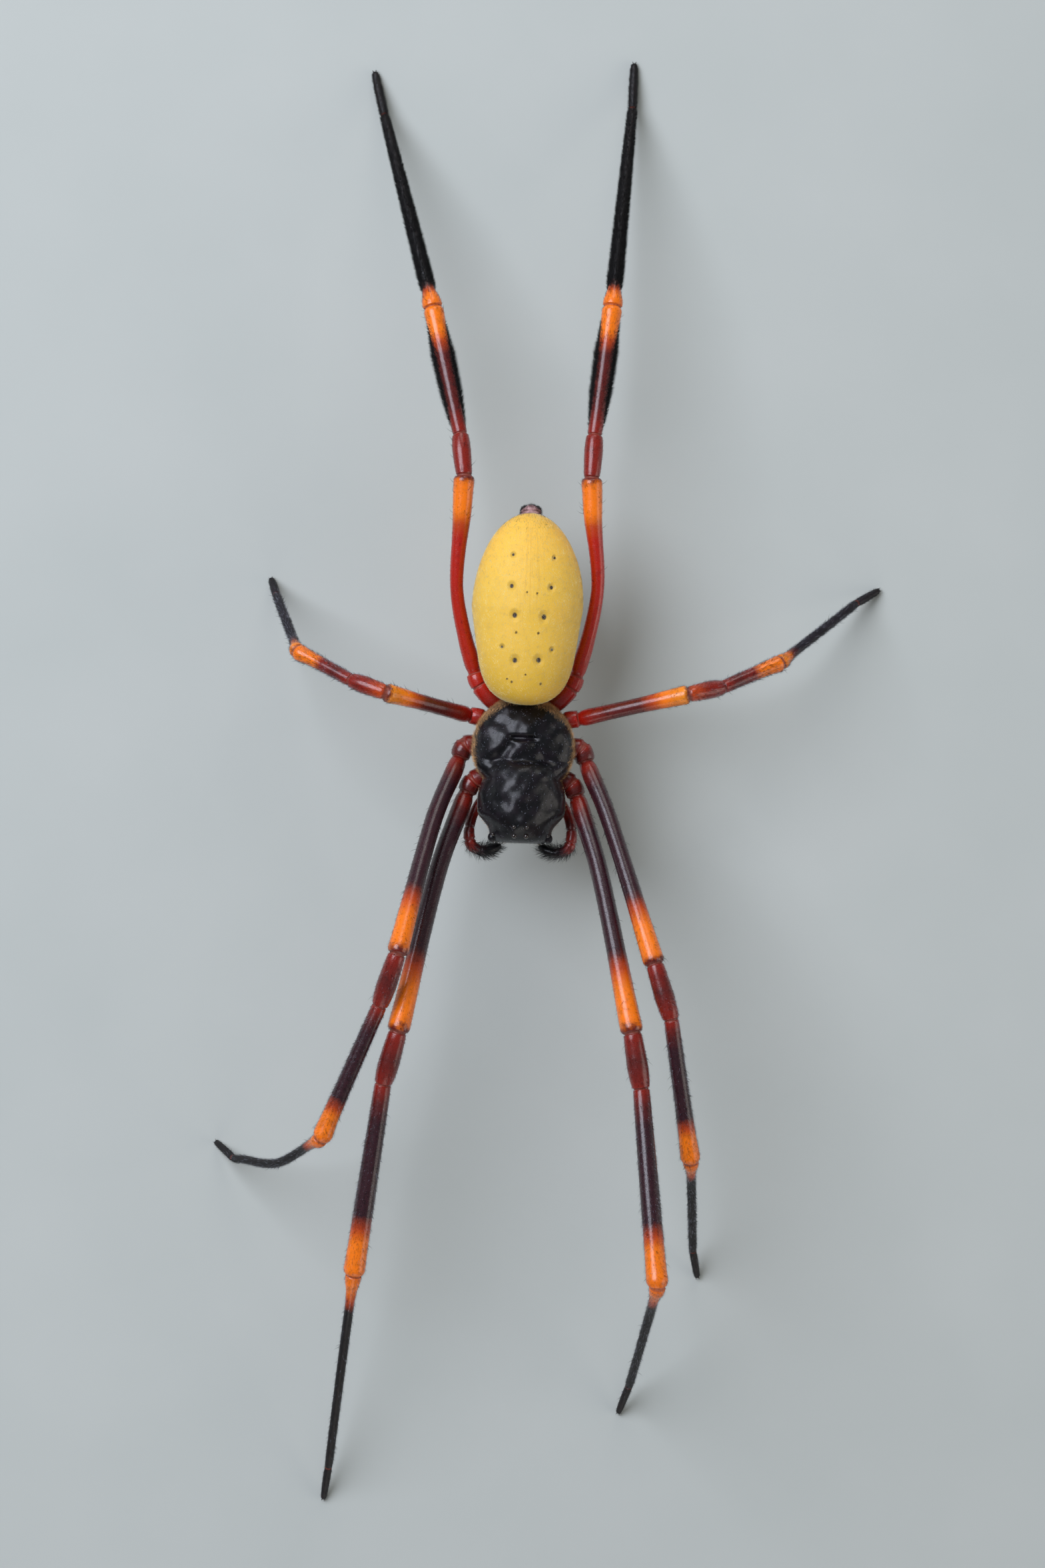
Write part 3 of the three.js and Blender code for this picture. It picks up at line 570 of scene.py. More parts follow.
def leg_finish(name, bands):
    finish = Finish(name)
    place = finish.place()
    mark, soft = finish.mark("mark"), finish.mark("membrane")
    blotches = finish.noise(place, 1.1, detail=4)
    grain = finish.noise(place, 9.0, detail=4, roughness=0.6)
    ragged = (mark + (blotches - 0.5) * 0.05 + (grain - 0.5) * 0.03) / len(SEGMENTS)
    stops = [(position / len(SEGMENTS), colour) for position, colour in bands]
    colour = finish.node("ShaderNodeValToRGB", {"stops": stops}, {"Fac": ragged})
    colour = finish.coats(colour, (blotches.ramp_up(0.50, 0.74) * 0.22, BLACK),
                          (grain.ramp_up(0.48, 0.74) * 0.20, RIM_BROWN), (soft * 0.6, MEMBRANE))
    relief = finish.bump(blotches, 0.05)
    relief = finish.bump(finish.spots(place, 5.5).ramp_up(0.05, 0.30), 0.010, relief)
    relief = finish.bump(grain, 0.010, relief)
    feet = mark.ramp_up(4.1, 4.3)
    shine = 0.22 + grain * 0.12 + soft * 0.25 + feet * 0.25
    return finish.surface(Base_Color=colour, Roughness=shine, Normal=relief, Coat_Roughness=0.10,
                          Coat_Weight=(0.3 - soft * 0.2) * (1 - feet), Specular_IOR_Level=0.45)


LEG_FINISHES = {pair: leg_finish(f"leg_shell_{pair}", bands) for pair, bands in LEG_BANDS.items()}
LEG_FINISHES[2] = LEG_FINISHES[1]
print(len(LEG_BANDS), "banded finishes")

# %% How the coat changes along a leg
MARKS = (0, 1, 1.8, 2, 3, 3.1, 3.2, 3.7, 3.8, 4.0, 4.07, 4.12, 4.4, 4.9, 5.0, 5.9, 6)
SPARSE = (0.5, 0.5, 0.7, 0.9, 1.0, 1.1, 1.3, 1.8, 1.6, 1.2, 1.6, 2.6, 3.0, 3.2, 3.4, 3.6, 3.6)
SPARSE_LENGTHS = (0.3, 0.26, 0.3, 0.34, 0.30, 0.32, 0.34, 0.40, 0.38, 0.3, 0.32, 0.36, 0.36, 0.34, 0.3,
                  0.26, 0.2)
DENSE = (0.4, 0.25, 0.3, 0.5, 0.6, 0.7, 0.8, 1.0, 0.9, 0.8, 1.2, 11.0, 10.0, 8.0, 7.0, 7.0, 7.0)
DENSE_LENGTHS = (0.3, 0.22, 0.24, 0.28, 0.26, 0.28, 0.30, 0.32, 0.30, 0.26, 0.34, 0.62, 0.56, 0.44, 0.4,
                 0.30, 0.2)
SPINES = (0, 1, 2, 3, 4.5, 5, 6), (0, 0.6, 1, 1.2, 1.4, 0.6, 0)
# where the painted glint, pale bluish hair standing for light on black hair, grows along legs I to III
PAINTED_GLINT_GROWTH = (1.5, 2, 3.2, 4.6, 5, 5.5), (0, 0.2, 1, 1, 0.6, 0)
BRUSH_MARKS = (3.05, 3.16, 3.3, 3.62, 3.76, 3.9)
BRUSH, BRUSH_LENGTHS = (0, 0.6, 1, 1, 0.5, 0), (0.3, 0.5, 0.72, 0.74, 0.45, 0.25)
BRISTLES = (4.08, 4.12, 4.5, 4.95, 5.2), (0, 1, 0.8, 0.5, 0)
BRISTLE_LENGTHS = (4.08, 4.14, 4.4, 4.8, 5.2), (0.5, 0.62, 0.55, 0.36, 0.3)


def leg_coat(name, rings, mark):
    """All the hair of one leg. Growth and length are named at marks; grow() asks by share of the rings."""
    def by_mark(marks, values):
        steps = np.linspace(0, 1, len(mark))
        return lambda share, at: np.interp(np.interp(share, steps, mark), marks, values)

    bushy = "leg_4" in name
    count, growth, lengths = (16000, DENSE, DENSE_LENGTHS) if bushy else (6500, SPARSE, SPARSE_LENGTHS)
    grow(f"{name}_hair", rings, count, 1.0, 0.012, 50, black_hair, by_mark(MARKS, growth),
         long_where=by_mark(MARKS, lengths))
    grow(f"{name}_spines", rings, 80, 0.8, 0.020, 42, black_hair, by_mark(*SPINES), curl=0.35)
    if bushy:
        grow(f"{name}_brush", rings, 5200, 1.0, 0.017, 42, black_hair,
             by_mark(BRUSH_MARKS, BRUSH), flanks=1.0, long_where=by_mark(BRUSH_MARKS, BRUSH_LENGTHS))
        grow(f"{name}_bristles", rings, 6500, 1.0, 0.018, 40, black_hair, by_mark(*BRISTLES),
             flanks=0.6, long_where=by_mark(*BRISTLE_LENGTHS))
    else:
        # painted glint: pale bluish hair on the flanks stands for light catching black hairs
        grow(f"{name}_silver_hair_and_painted_glint", rings, 1500, 0.40, 0.007, 48, silver_hair_and_painted_glint, by_mark(*PAINTED_GLINT_GROWTH),
             flanks=0.9)


print("hair lengths of", min(SPARSE_LENGTHS), "to", max(BRUSH_LENGTHS), "mm")

# %% Claws
CLAW_RADIUS, CLAW_SPREAD = 0.07, 0.16
CLAW_ROUTE = [(-0.15, 0.4, 0.16), (0.1, 1.0, 0.24), (0.26, 1.2, 0.08)]
JUST_OFF_THE_FLOOR = 0.01
claw_finish = Finish("claw_horn")
claw_grain = claw_finish.noise(claw_finish.place(), 14.0)
claw_finish.surface(Base_Color=claw_finish.mix(claw_grain, (0.004, 0.003, 0.003), (0.03, 0.012, 0.008)),
                    Roughness=0.2 + claw_grain * 0.15)


def above_floor(rings):
    """The rings with whatever dips below the floor raised to just above it."""
    rings[..., 2] = np.maximum(rings[..., 2], JUST_OFF_THE_FLOOR)
    return rings


def claws(name, line):
    """Two hooks that spread and curve down from the end of a foot."""
    foot, heel = line[-1], line[-12]
    ahead = unit(np.array([*(foot - heel)[:2], 0]))
    beside = np.array([-ahead[1], ahead[0], 0])
    for letter, spread in (("a", -CLAW_SPREAD), ("b", CLAW_SPREAD)):
        knots = [foot + ahead * x + beside * spread * y + (0, 0, z) for x, y, z in CLAW_ROUTE]
        claw, length = smooth_line(knots)
        at = np.linspace(0, length[-1], 12)
        horn = rings_along(claw, length, at, CLAW_RADIUS * (1 - 0.92 * at / at[-1]), 8)
        add_tube(f"{name}_claw_{letter}", above_floor(horn), claw_finish)


print("claws", 2 * CLAW_SPREAD, "mm apart at their roots")

# %% Build the eight legs
LEG_SIDES, LEG_SQUEEZE = 22, 0.96
for name in LEG_POSES:
    line, far, joints = leg_route(name)
    stations, radius, mark, membrane = leg_profile(name, joints)
    rings = above_floor(rings_along(line, far, stations, radius, LEG_SIDES, LEG_SQUEEZE))
    add_tube(name, rings, LEG_FINISHES[int(name[4])],
             [f"{name}_{segment}" for segment in SEGMENTS], {"mark": mark, "membrane": membrane})
    leg_coat(name, rings, mark)
    claws(name, line)
print("eight legs;", sum(coat_faces), "faces of hair so far")

# %% [markdown]
# ## Abdomen: the golden egg
#
# The abdomen is a smooth, taut egg with a blunt front that overhangs the carapace. Its top shows rows of
# small dark pits where muscles pull the skin in, and faint lines run down the rear half. The solid's own
# section function gives the form, with far more rings, and a slight seeded unevenness keeps the outline
# from looking turned on a lathe.

# %% Form of the abdomen
ABDOMEN = Sizes(length=20.0, half_width=5.85, half_height=5.25, centre=14.8, lift=1.3, lift_reach=0.25,
                taper=0.25, blunt=6, corner=0.455)


def abdomen_section(y):
    """Half width, half height and centre height of the abdomen at y."""
    share = clamp((np.asarray(y, float) - ABDOMEN_FRONT) / ABDOMEN.length)
    ahead, behind = np.maximum(1 - 2 * share, 0), np.maximum(2 * share - 1, 0)
    front = (1 - ABDOMEN.taper * ahead) * (1 - ahead ** ABDOMEN.blunt) ** ABDOMEN.corner
    form = np.where(behind > 0, np.sqrt(1 - behind**2), front)
    centre = ABDOMEN.centre + ABDOMEN.lift * np.maximum(1 - share / ABDOMEN.lift_reach, 0) ** 2
    return ABDOMEN.half_width * form, ABDOMEN.half_height * form, centre


POLE = 0.012


def body_rings(front, rear, count, sides, section):
    """Rings along Y, close together at both ends; section gives half width, top, bottom and middle at y."""
    y = front + (rear - front) * (1 - np.cos(np.linspace(POLE, math.pi - POLE, count))) / 2
    turn = turns(sides)
    half, top, bottom, middle = [np.broadcast_to(v, y.shape)[:, None] for v in section(y)]
    rise = np.sin(turn)[None]
    z = np.where(rise > 0, middle + (top - middle) * rise, middle + (middle - bottom) * rise)
    return np.stack([half * np.cos(turn)[None], np.broadcast_to(y[:, None], z.shape), z], -1)


def unevenness(points, size, strength, seed):
    """Soft lumps: a sum of a few slow waves in seeded directions, from -strength to strength."""
    draw = np.random.default_rng(seed)
    waves = draw.normal(0, 1 / size, (7, 3))
    phases = draw.uniform(0, 2 * math.pi, 7)
    return strength * np.sin(points @ waves.T + phases).mean(-1)


def whole_section(y):
    """The abdomen's section as body_rings() takes it."""
    half, high, centre = abdomen_section(y)
    return half, centre + high, centre - high, centre


abdomen_rings = body_rings(ABDOMEN_FRONT, ABDOMEN_FRONT + ABDOMEN.length, 120, 110, whole_section)
heart = np.array([0, ABDOMEN_FRONT + ABDOMEN.length / 2, ABDOMEN.centre])
abdomen_rings += unit(abdomen_rings - heart) * (unevenness(abdomen_rings, 3.0, 0.10, 4)[..., None] - 0.05)
print("the abdomen is", ABDOMEN.length, "mm long and", 2 * ABDOMEN.half_width, "mm wide")

# %% [markdown]
# ## Abdomen: the golden skin
#
# From a step away the skin is plain golden yellow. Warmer, brighter gold towards the spinnerets is painted
# light and a darker olive front is painted shade; it is also browner below. Close to, it is dusted with fine
# pale flecks over a leathery grain. The pits are spots at named places: each is a distance from its own
# centre, turned into a dark dot and a dent, with painted shade in the dent, by the same mask.

# %% Pits
PITS = [(-1.16, 8.86, 0.27), (1.29, 8.95, 0.27), (-1.32, 13.50, 0.27), (1.70, 13.41, 0.27),
        (-1.73, 16.51, 0.22), (2.36, 16.48, 0.20), (-1.68, 19.77, 0.15), (2.60, 19.57, 0.14),
        (-2.53, 10.21, 0.14), (2.64, 10.07, 0.14), (-1.10, 11.7, 0.07), (1.2, 11.7, 0.07),
        (0.0, 7.4, 0.05), (-0.1, 15.9, 0.05), (0.95, 15.8, 0.06), (1.6, 6.5, 0.06), (-1.4, 6.6, 0.06),
        (-1.9, 6.9, 0.05)]
FORESHORTEN = 0.85
golden = Finish("golden_skin")
place = golden.place()
apart = {"Vector": place}
across, lengthways, height = [golden.node("ShaderNodeSeparateXYZ", None, apart, k) for k in range(3)]
across, lengthways = across - float(SHIFT[0]), lengthways - float(SHIFT[1])
top_side = height.ramp_up(15.5, 17.5)
flat = golden.node("ShaderNodeVectorMath", {"operation": "MULTIPLY"}, {0: place, 1: (1, FORESHORTEN, 0)})
dots, dips = [], []
for x, y, radius in PITS:
    centre = (x + float(SHIFT[0]), (y + float(SHIFT[1])) * FORESHORTEN, 0)
    away = golden.node("ShaderNodeVectorMath", {"operation": "DISTANCE"}, {0: flat, 1: centre}, output=1)
    dots.append(away.ramp_up(radius * 1.15, radius * 0.55))
    dips.append(away.ramp_up(radius * 2.6, radius * 0.3))
pits, dents = functools.reduce(Wire.larger, dots) * top_side, functools.reduce(Wire.larger, dips) * top_side
print(len(PITS), "pits in the golden skin")

# %% Golden skin
drift = golden.noise(place, 0.18, detail=2)
fine = golden.noise(place, 7.0, detail=5, roughness=0.65)
flecks = golden.spots(place, 3.4)
stretched = golden.node("ShaderNodeVectorMath", {"operation": "MULTIPLY"}, {0: place, 1: (6.0, 0.22, 0.5)})
lines = golden.noise(stretched, 1.0, detail=3)
beside = across - 0.2
line_zone = beside.ramp_up(-2.2, 0.0) * beside.ramp_up(2.2, 0.0) * lengthways.ramp_up(10.5, 15.0) * top_side
GOLD, PAINTED_SHADE_OLIVE, WARM_GOLD_AND_PAINTED_LIGHT = (0.87, 0.53, 0.056), (0.61, 0.36, 0.010), (0.99, 0.56, 0.062)
BELLY, PALE_FLECK, LEATHER = (0.29, 0.145, 0.022), (0.95, 0.80, 0.42), (0.42, 0.22, 0.012)
LINE_BROWN, PAINTED_DENT_SHADE, PIT_BLACK = (0.62, 0.30, 0.02), (0.50, 0.26, 0.02), (0.030, 0.014, 0.012)
colour = golden.coats(
    GOLD,
    # painted shade: the front of the abdomen darkened towards olive
    (lengthways.ramp_up(11.5, 5.0) * 0.75, PAINTED_SHADE_OLIVE),
    # painted light: the rear brightened to warm gold; the drift patches below are the skin's own uneven tone
    (lengthways.ramp_up(15.0, 23.0) * 0.7, WARM_GOLD_AND_PAINTED_LIGHT),
    (drift.ramp_up(0.42, 0.66) * 0.35, WARM_GOLD_AND_PAINTED_LIGHT),
    (height.ramp_up(13.6, 10.4) * 0.85, BELLY),
    (flecks.ramp_up(0.16, 0.04) * 0.30, PALE_FLECK),
    (fine.ramp_up(0.50, 0.72) * 0.16, LEATHER),
    (lines.ramp_up(0.50, 0.64) * line_zone * 0.25, LINE_BROWN),
    # painted shade: brown laid into the dent round each pit
    (dents * 0.22, PAINTED_DENT_SHADE),
    (pits, PIT_BLACK))
relief = golden.bump(1 - dents, 0.22)
relief = golden.bump(fine, 0.035, relief)
relief = golden.bump(lines * line_zone, 0.02, relief)
golden.surface(Base_Color=colour, Roughness=0.50 + fine * 0.18, Normal=relief, Sheen_Weight=0.15,
               Sheen_Roughness=0.4)
abdomen = add_tube("abdomen_skin", abdomen_rings, golden, ["abdomen"])
print("abdomen", len(abdomen.data.vertices), "points")


# %% Down on the abdomen
def upper(share, at):
    """Pale down grows mostly on the top."""
    return 0.25 + clamp((at[..., 2] - 12.5) / 3)


def lower(share, at):
    """Dark bristles grow on the belly and round the spinnerets."""
    return clamp((13.5 - at[..., 2]) / 2) + 0.6 * (at[..., 1] > 22.5)


grow("abdomen_down", abdomen_rings, 16000, 0.26, 0.008, 72, pale_hair, upper, sway=0.5)
grow("abdomen_bristles", abdomen_rings, 3500, 0.30, 0.011, 66, black_hair, lower)
print(sum(coat_faces[-2:]), "faces of hair on the abdomen")

# %% [markdown]
# ## Carapace
#
# The carapace is one hard black shield: a low round thorax with a pit across its middle, and a raised head
# that carries the eyes. Grooves run from the pit to either side of the head and out to the legs, and the
# whole surface is uneven, which breaks its reflections into patches. The grooves are cut into the grid as
# distances from short named lines, since a bump alone would leave the outline too smooth from the side.

# %% Form of the carapace
MARGIN, UNDERSIDE, HEAD_FRONT, THORAX_REAR = 12.5, 0.3, -10.05, 5.2
THORAX = Sizes(centre=-0.1, half_length=5.3, half_width=5.3, height=3.0)
HEAD = Sizes(widest=-5.8, rear_reach=5.26, front_reach=4.25, half_width=4.58, square=8, shoulder_start=-6.7,
             shoulder_end=-8.9, narrowing=0.28)
ROOF = Sizes(centre=-5.6, half_length=4.5, height=4.4, blunt=3.2)
GROOVES = [((-1.2, 0.9), (1.2, 0.9), 0.28, 0.55), ((-1.5, 0.0), (-4.4, -4.0), 0.62, 0.40),
           ((1.5, 0.0), (4.4, -4.0), 0.62, 0.40), ((-2.2, 0.5), (-4.9, 0.0), 0.70, 0.14),
           ((2.2, 0.5), (4.9, 0.0), 0.70, 0.14), ((-1.6, 1.8), (-3.6, 3.4), 0.70, 0.14),
           ((1.6, 1.8), (3.6, 3.4), 0.70, 0.14)]


def bulge(distance, half_length, power):
    """1 at no distance and 0 at the half length; the higher the power, the squarer the curve between."""
    share = np.minimum(np.abs(distance) / half_length, 1)
    return (1 - share**power) ** (1 / power)


def head_half_width(y):
    """The head swells in front of the thorax, then narrows at its shoulders to a square front."""
    ahead = HEAD.widest - y
    turn = clamp((HEAD.shoulder_start - y) / (HEAD.shoulder_start - HEAD.shoulder_end))
    narrowed = 1 - HEAD.narrowing * turn**2 * (3 - 2 * turn)
    front, rear = bulge(ahead, HEAD.front_reach, HEAD.square), bulge(ahead, HEAD.rear_reach, 2)
    return HEAD.half_width * np.where(ahead > 0, narrowed * front, rear)


def carapace_section(y):
    """Half width, top, bottom and middle height of the carapace at y."""
    thorax = bulge(y - THORAX.centre, THORAX.half_length, 2)
    half = np.maximum(THORAX.half_width * thorax, head_half_width(y))
    roof = bulge(y - ROOF.centre, ROOF.half_length, ROOF.blunt)
    top = MARGIN + np.maximum(THORAX.height * thorax, ROOF.height * roof)
    return half, top, MARGIN - UNDERSIDE, MARGIN


def groove_depth(x, y):
    """How far the grooves cut in at a place on the carapace."""
    total = np.zeros(np.shape(x))
    for (x0, y0), (x1, y1), width, depth in GROOVES:
        reach = np.array([x1 - x0, y1 - y0])
        share = clamp(((x - x0) * reach[0] + (y - y0) * reach[1]) / (reach @ reach))
        away = np.hypot(x - x0 - share * reach[0], y - y0 - share * reach[1])
        total = np.maximum(total, depth * np.exp(-((away / width) ** 2)))
    return total


def carapace_roof(x, y):
    """Height of the plain shell at a place."""
    half, top, _, middle = carapace_section(np.asarray(y, float))
    return middle + (top - middle) * np.sqrt(clamp(1 - (x / np.maximum(half, 1e-6)) ** 2))


print(len(GROOVES), "grooves on the carapace")

# %% Rings of the carapace
OVERHANG_GAP, OPEN_SKY = 0.25, 99.0
carapace_rings = body_rings(HEAD_FRONT, THORAX_REAR, 130, 120, carapace_section)
x, y, z = np.moveaxis(carapace_rings, -1, 0)
roof = clamp((z - MARGIN) / 0.8)
lumps = unevenness(carapace_rings, 0.75, 0.36, 11) + unevenness(carapace_rings, 0.40, 0.08, 12)
drop = roof * (groove_depth(x, y) + 0.06 - lumps)
half, high, centre = abdomen_section(np.maximum(y, ABDOMEN_FRONT + 0.01))
overhang = centre - high * np.sqrt(clamp(1 - (x / np.maximum(half, 1e-6)) ** 2))
under_abdomen = (y > ABDOMEN_FRONT - 0.4) & (np.abs(x) < half)
limit = np.where(under_abdomen, overhang - OVERHANG_GAP, OPEN_SKY)
carapace_rings[..., 2] = np.maximum(np.minimum(z - drop, limit), MARGIN - UNDERSIDE)
print("the shell stands", round(float(carapace_rings[..., 2].max()), 1), "mm above the floor")

# %% Black shell
black_shell = Finish("black_shell")
place = black_shell.place()
lumpy = black_shell.noise(place, 0.8, detail=2, roughness=0.4)
rough_grain = black_shell.noise(place, 5.0, detail=5, roughness=0.6)
colour = black_shell.coats((0.003, 0.003, 0.004), (lumpy.ramp_up(0.40, 0.70), (0.009, 0.006, 0.009)),
                           (rough_grain.ramp_up(0.55, 0.75) * 0.4, (0.020, 0.009, 0.009)))
relief = black_shell.bump(lumpy, 0.10)
relief = black_shell.bump(rough_grain, 0.010, relief)
black_shell.surface(Base_Color=colour, Roughness=0.25 + rough_grain * 0.20, Normal=relief, Coat_Weight=0.15,
                    Coat_Roughness=0.18, Specular_IOR_Level=0.28)
carapace = add_tube("carapace_shell", carapace_rings, black_shell, ["carapace"])
print("carapace", len(carapace.data.vertices), "points")


# %% Fringe and hair of the carapace
def fringe(share, at):
    """Tan hair stands along the margin, thickest at the rear."""
    rear = clamp((at[..., 1] - 1.5) / 2.5)
    edge = clamp((MARGIN + 1.2 + 0.4 * rear - at[..., 2]) / 0.6) * (at[..., 2] > MARGIN - 0.1)
    return edge * (0.04 + clamp((at[..., 1] + 3.8) / 2.0) + rear)


def on_top(share, at):
    """Scattered hair grows on the top, less on the head."""
    return clamp((at[..., 2] - MARGIN - 0.4) / 1.0) * np.where(at[..., 1] > -3, 1.0, 0.55)


grow("carapace_fringe", carapace_rings, 6500, 0.42, 0.010, 44, tan_hair, fringe, sway=0.8)
grow("carapace_pale_hair", carapace_rings, 600, 0.24, 0.009, 66, silver_hair_and_painted_glint, on_top, way=-1.0,
     sway=0.8)
grow("carapace_dark_hair", carapace_rings, 2200, 0.34, 0.010, 55, black_hair, on_top, way=-1.0,
     sway=0.6)
print(sum(coat_faces[-3:]), "faces of hair on the carapace")

# %% [markdown]
# ## Eyes
#
# Eight small beads stand at the front of the head: four in the middle in a square, and a close pair on a
# knob at either corner. Each is its own glossy dome set into the shell, so light catches it apart from the
# carapace.

# %% Eyes and the knobs that carry the outer pairs
eye_finish = Finish("eye_glass")
eye_depths = eye_finish.noise(eye_finish.place(), 5.0)
eye_finish.surface(Base_Color=eye_finish.mix(eye_depths, (0.004, 0.004, 0.006), (0.035, 0.020, 0.012)),
                   Roughness=0.05 + eye_depths * 0.04, Coat_Weight=0.6, Coat_Roughness=0.03)
EYES = {"front_middle": (0.62, -9.30, 0.27, 0.0), "rear_middle": (0.66, -8.35, 0.24, 0.0),
        "front_side": (3.0, -9.75, 0.20, 0.16), "rear_side": (2.85, -9.20, 0.20, 0.16)}
KNOB, KNOB_RADII, KNOB_DEPTH = (2.9, -9.5), (0.48, 0.52, 0.50), 0.22


def ball(centre, radii, count=18, sides=24):
    """A round form as rings along Y, stretched to three radii."""
    turn = np.linspace(0.02, math.pi - 0.02, count)[:, None]
    lift = turns(sides)
    across, ahead, up = np.sin(turn) * np.cos(lift), -np.cos(turn) + 0 * lift, np.sin(turn) * np.sin(lift)
    return np.stack([across, ahead, up], -1) * radii + np.array(centre)


for word, side in SIDES.items():
    for eye, (x, y, radius, rise) in EYES.items():
        centre = (side * x, y, float(carapace_roof(x, y)) + rise - radius * 0.25)
        add_tube(f"eye_{eye}_{word}", ball(centre, radius), eye_finish)
    base = (side * KNOB[0], KNOB[1], float(carapace_roof(*KNOB)) - KNOB_DEPTH)
    add_tube(f"eye_knob_{word}", ball(base, KNOB_RADII), black_shell)
print(2 * len(EYES), "eyes")

# %% [markdown]
# ## Chelicerae, palps and mouthparts
#
# Under the front of the head hang two stout chelicerae, each with a fang folded across its tip. A leg-like
# palp curls round from either side, dark red at its root and black and very bristly at its end. Below lie
# the labium, the endites and the heart-shaped sternum that the coxae meet. Few pictures show these, but a
# still part is turned over and looked at from all sides, so they are built with the same care.

# %% Chelicerae and fangs
CHELICERA = Sizes(x=1.3, y=-7.55, top=11.9, length=5.2, half_width=1.12, half_depth=1.3, fang=2.3, thick=0.36)


def chelicera_rings(side, count=48, sides=40):
    """Rings from the top of a chelicera down to its tip, swollen in front."""
    share = (1 - np.cos(np.linspace(0.01, math.pi - 0.01, count))) / 2
    swell = 1 + 0.12 * np.sin(math.pi * np.minimum(share * 1.6, 1))
    width = (1 - 0.22 * share) * swell * bulge(share - 0.5, 0.5, 3.2)
    turn = turns(sides)
    x = side * CHELICERA.x + CHELICERA.half_width * width[:, None] * np.cos(turn)
    y = CHELICERA.y - CHELICERA.half_depth * width[:, None] * np.sin(turn)
    z = np.broadcast_to((CHELICERA.top - share * CHELICERA.length)[:, None], x.shape)
    return np.stack([x, y, z], -1)


def towards_tip(share, at):
    return 0.3 + 2.5 * clamp(share - 0.6)


for word, side in SIDES.items():
    rings = chelicera_rings(side)
    rings += unit(rings - rings.mean((0, 1))) * (unevenness(rings, 0.5, 0.06, 21)[..., None] - 0.03)
    add_tube(f"chelicera_shell_{word}", rings, black_shell, [f"chelicera_{word}"])
    grow(f"chelicera_{word}_hair", rings, 1500, 0.55, 0.012, 50, black_hair, towards_tip,
         curl=0.3)
    hinge = np.array([side * (CHELICERA.x + 0.45), CHELICERA.y - 0.2,
                      CHELICERA.top - CHELICERA.length + 0.75])
    inwards = -side * CHELICERA.fang
    fang, far = smooth_line([hinge, hinge + (0.35 * inwards, 0.25, -0.62),
                             hinge + (0.7 * inwards, 0.5, -0.45)])
    at = np.linspace(0, far[-1], 24)
    thickness = CHELICERA.thick * (1 - 0.85 * (at / at[-1]) ** 1.6)
    add_tube(f"fang_{word}", rings_along(fang, far, at, thickness, 16), claw_finish)
print("two chelicerae")

# %% Palps
PALP_ROUTE = [(-2.75, -4.9, 10.3), (-4.1, -5.7, 9.9), (-5.0, -7.3, 9.9), (-5.35, -9.2, 10.5),
              (-5.0, -10.5, 10.5), (-3.75, -10.95, 9.9), (-2.0, -10.4, 9.3)]
PALP_RADII = [(0, 0.5), (0.08, 0.6), (0.30, 0.52), (0.48, 0.58), (0.60, 0.66), (0.72, 0.60), (0.90, 0.62),
              (0.97, 0.48), (1, 0.12)]
PALP_SEAMS = np.array([0.10, 0.47, 0.60, 0.76])
palp_skin = Finish("palp_skin")
place = palp_skin.place()
mottle = palp_skin.noise(place, 2.2, detail=4)
stops = [(0.0, MAROON), (0.25, DEEP_RED), (0.45, MAROON), (0.62, DEEP_RED), (0.74, PLUM), (0.85, BLACK),
         (1.0, BLACK)]
colour = palp_skin.node("ShaderNodeValToRGB", {"stops": stops},
                        {"Fac": palp_skin.mark("share") + (mottle - 0.5) * 0.10})
colour = palp_skin.mix(mottle.ramp_up(0.5, 0.7) * 0.4, colour, BLACK)
palp_skin.surface(Base_Color=colour, Roughness=0.26 + mottle * 0.16, Normal=palp_skin.bump(mottle, 0.08),
                  Coat_Weight=0.2, Coat_Roughness=0.12)


def bushy_end(share, at):
    return 0.25 + 3.0 * clamp((share - 0.55) / 0.3)


def palp_hair_length(share, at):
    return np.interp(share, (0, 0.5, 0.75, 1), (0.35, 0.5, 1.0, 0.9))


for word, side in SIDES.items():
    line, far = smooth_line(np.array(PALP_ROUTE) * (-side, 1, 1))
    at = np.linspace(0, far[-1], 130)
    share = at / far[-1]
    radii = np.interp(share, *np.array(PALP_RADII).T)
    seam = np.abs(share[:, None] - PALP_SEAMS).min(1)
    radii = np.convolve(np.pad(radii, 3, mode="edge"), np.ones(7) / 7, "valid")
    radii *= 0.94 * (1 - 0.22 * np.exp(-(seam / 0.010) ** 2))
    rings = rings_along(line, far, at, radii, 24)
    add_tube(f"palp_skin_{word}", rings, palp_skin, [f"palp_{word}"], {"share": share})
    grow(f"palp_{word}_hair", rings, 620, 1.0, 0.016, 40, black_hair, bushy_end, curl=0.25,
         long_where=palp_hair_length)
print("two palps")

# %% Sternum
plate = Finish("underside_plate")
place = plate.place()
cloud, speck = plate.noise(place, 0.8, detail=4), plate.noise(place, 7.0, detail=4)
colour = plate.coats((0.030, 0.009, 0.008), (cloud.ramp_up(0.38, 0.66), (0.12, 0.022, 0.010)),
                     (speck.ramp_up(0.5, 0.72) * 0.4, (0.012, 0.006, 0.006)))
plate.surface(Base_Color=colour, Roughness=0.30 + speck * 0.18, Coat_Weight=0.15,
              Normal=plate.bump(speck, 0.025, plate.bump(cloud, 0.12)))
STERNUM = Sizes(front=-3.3, rear=3.4, half_width=2.55, top=11.6, middle=10.4, depth=1.2)


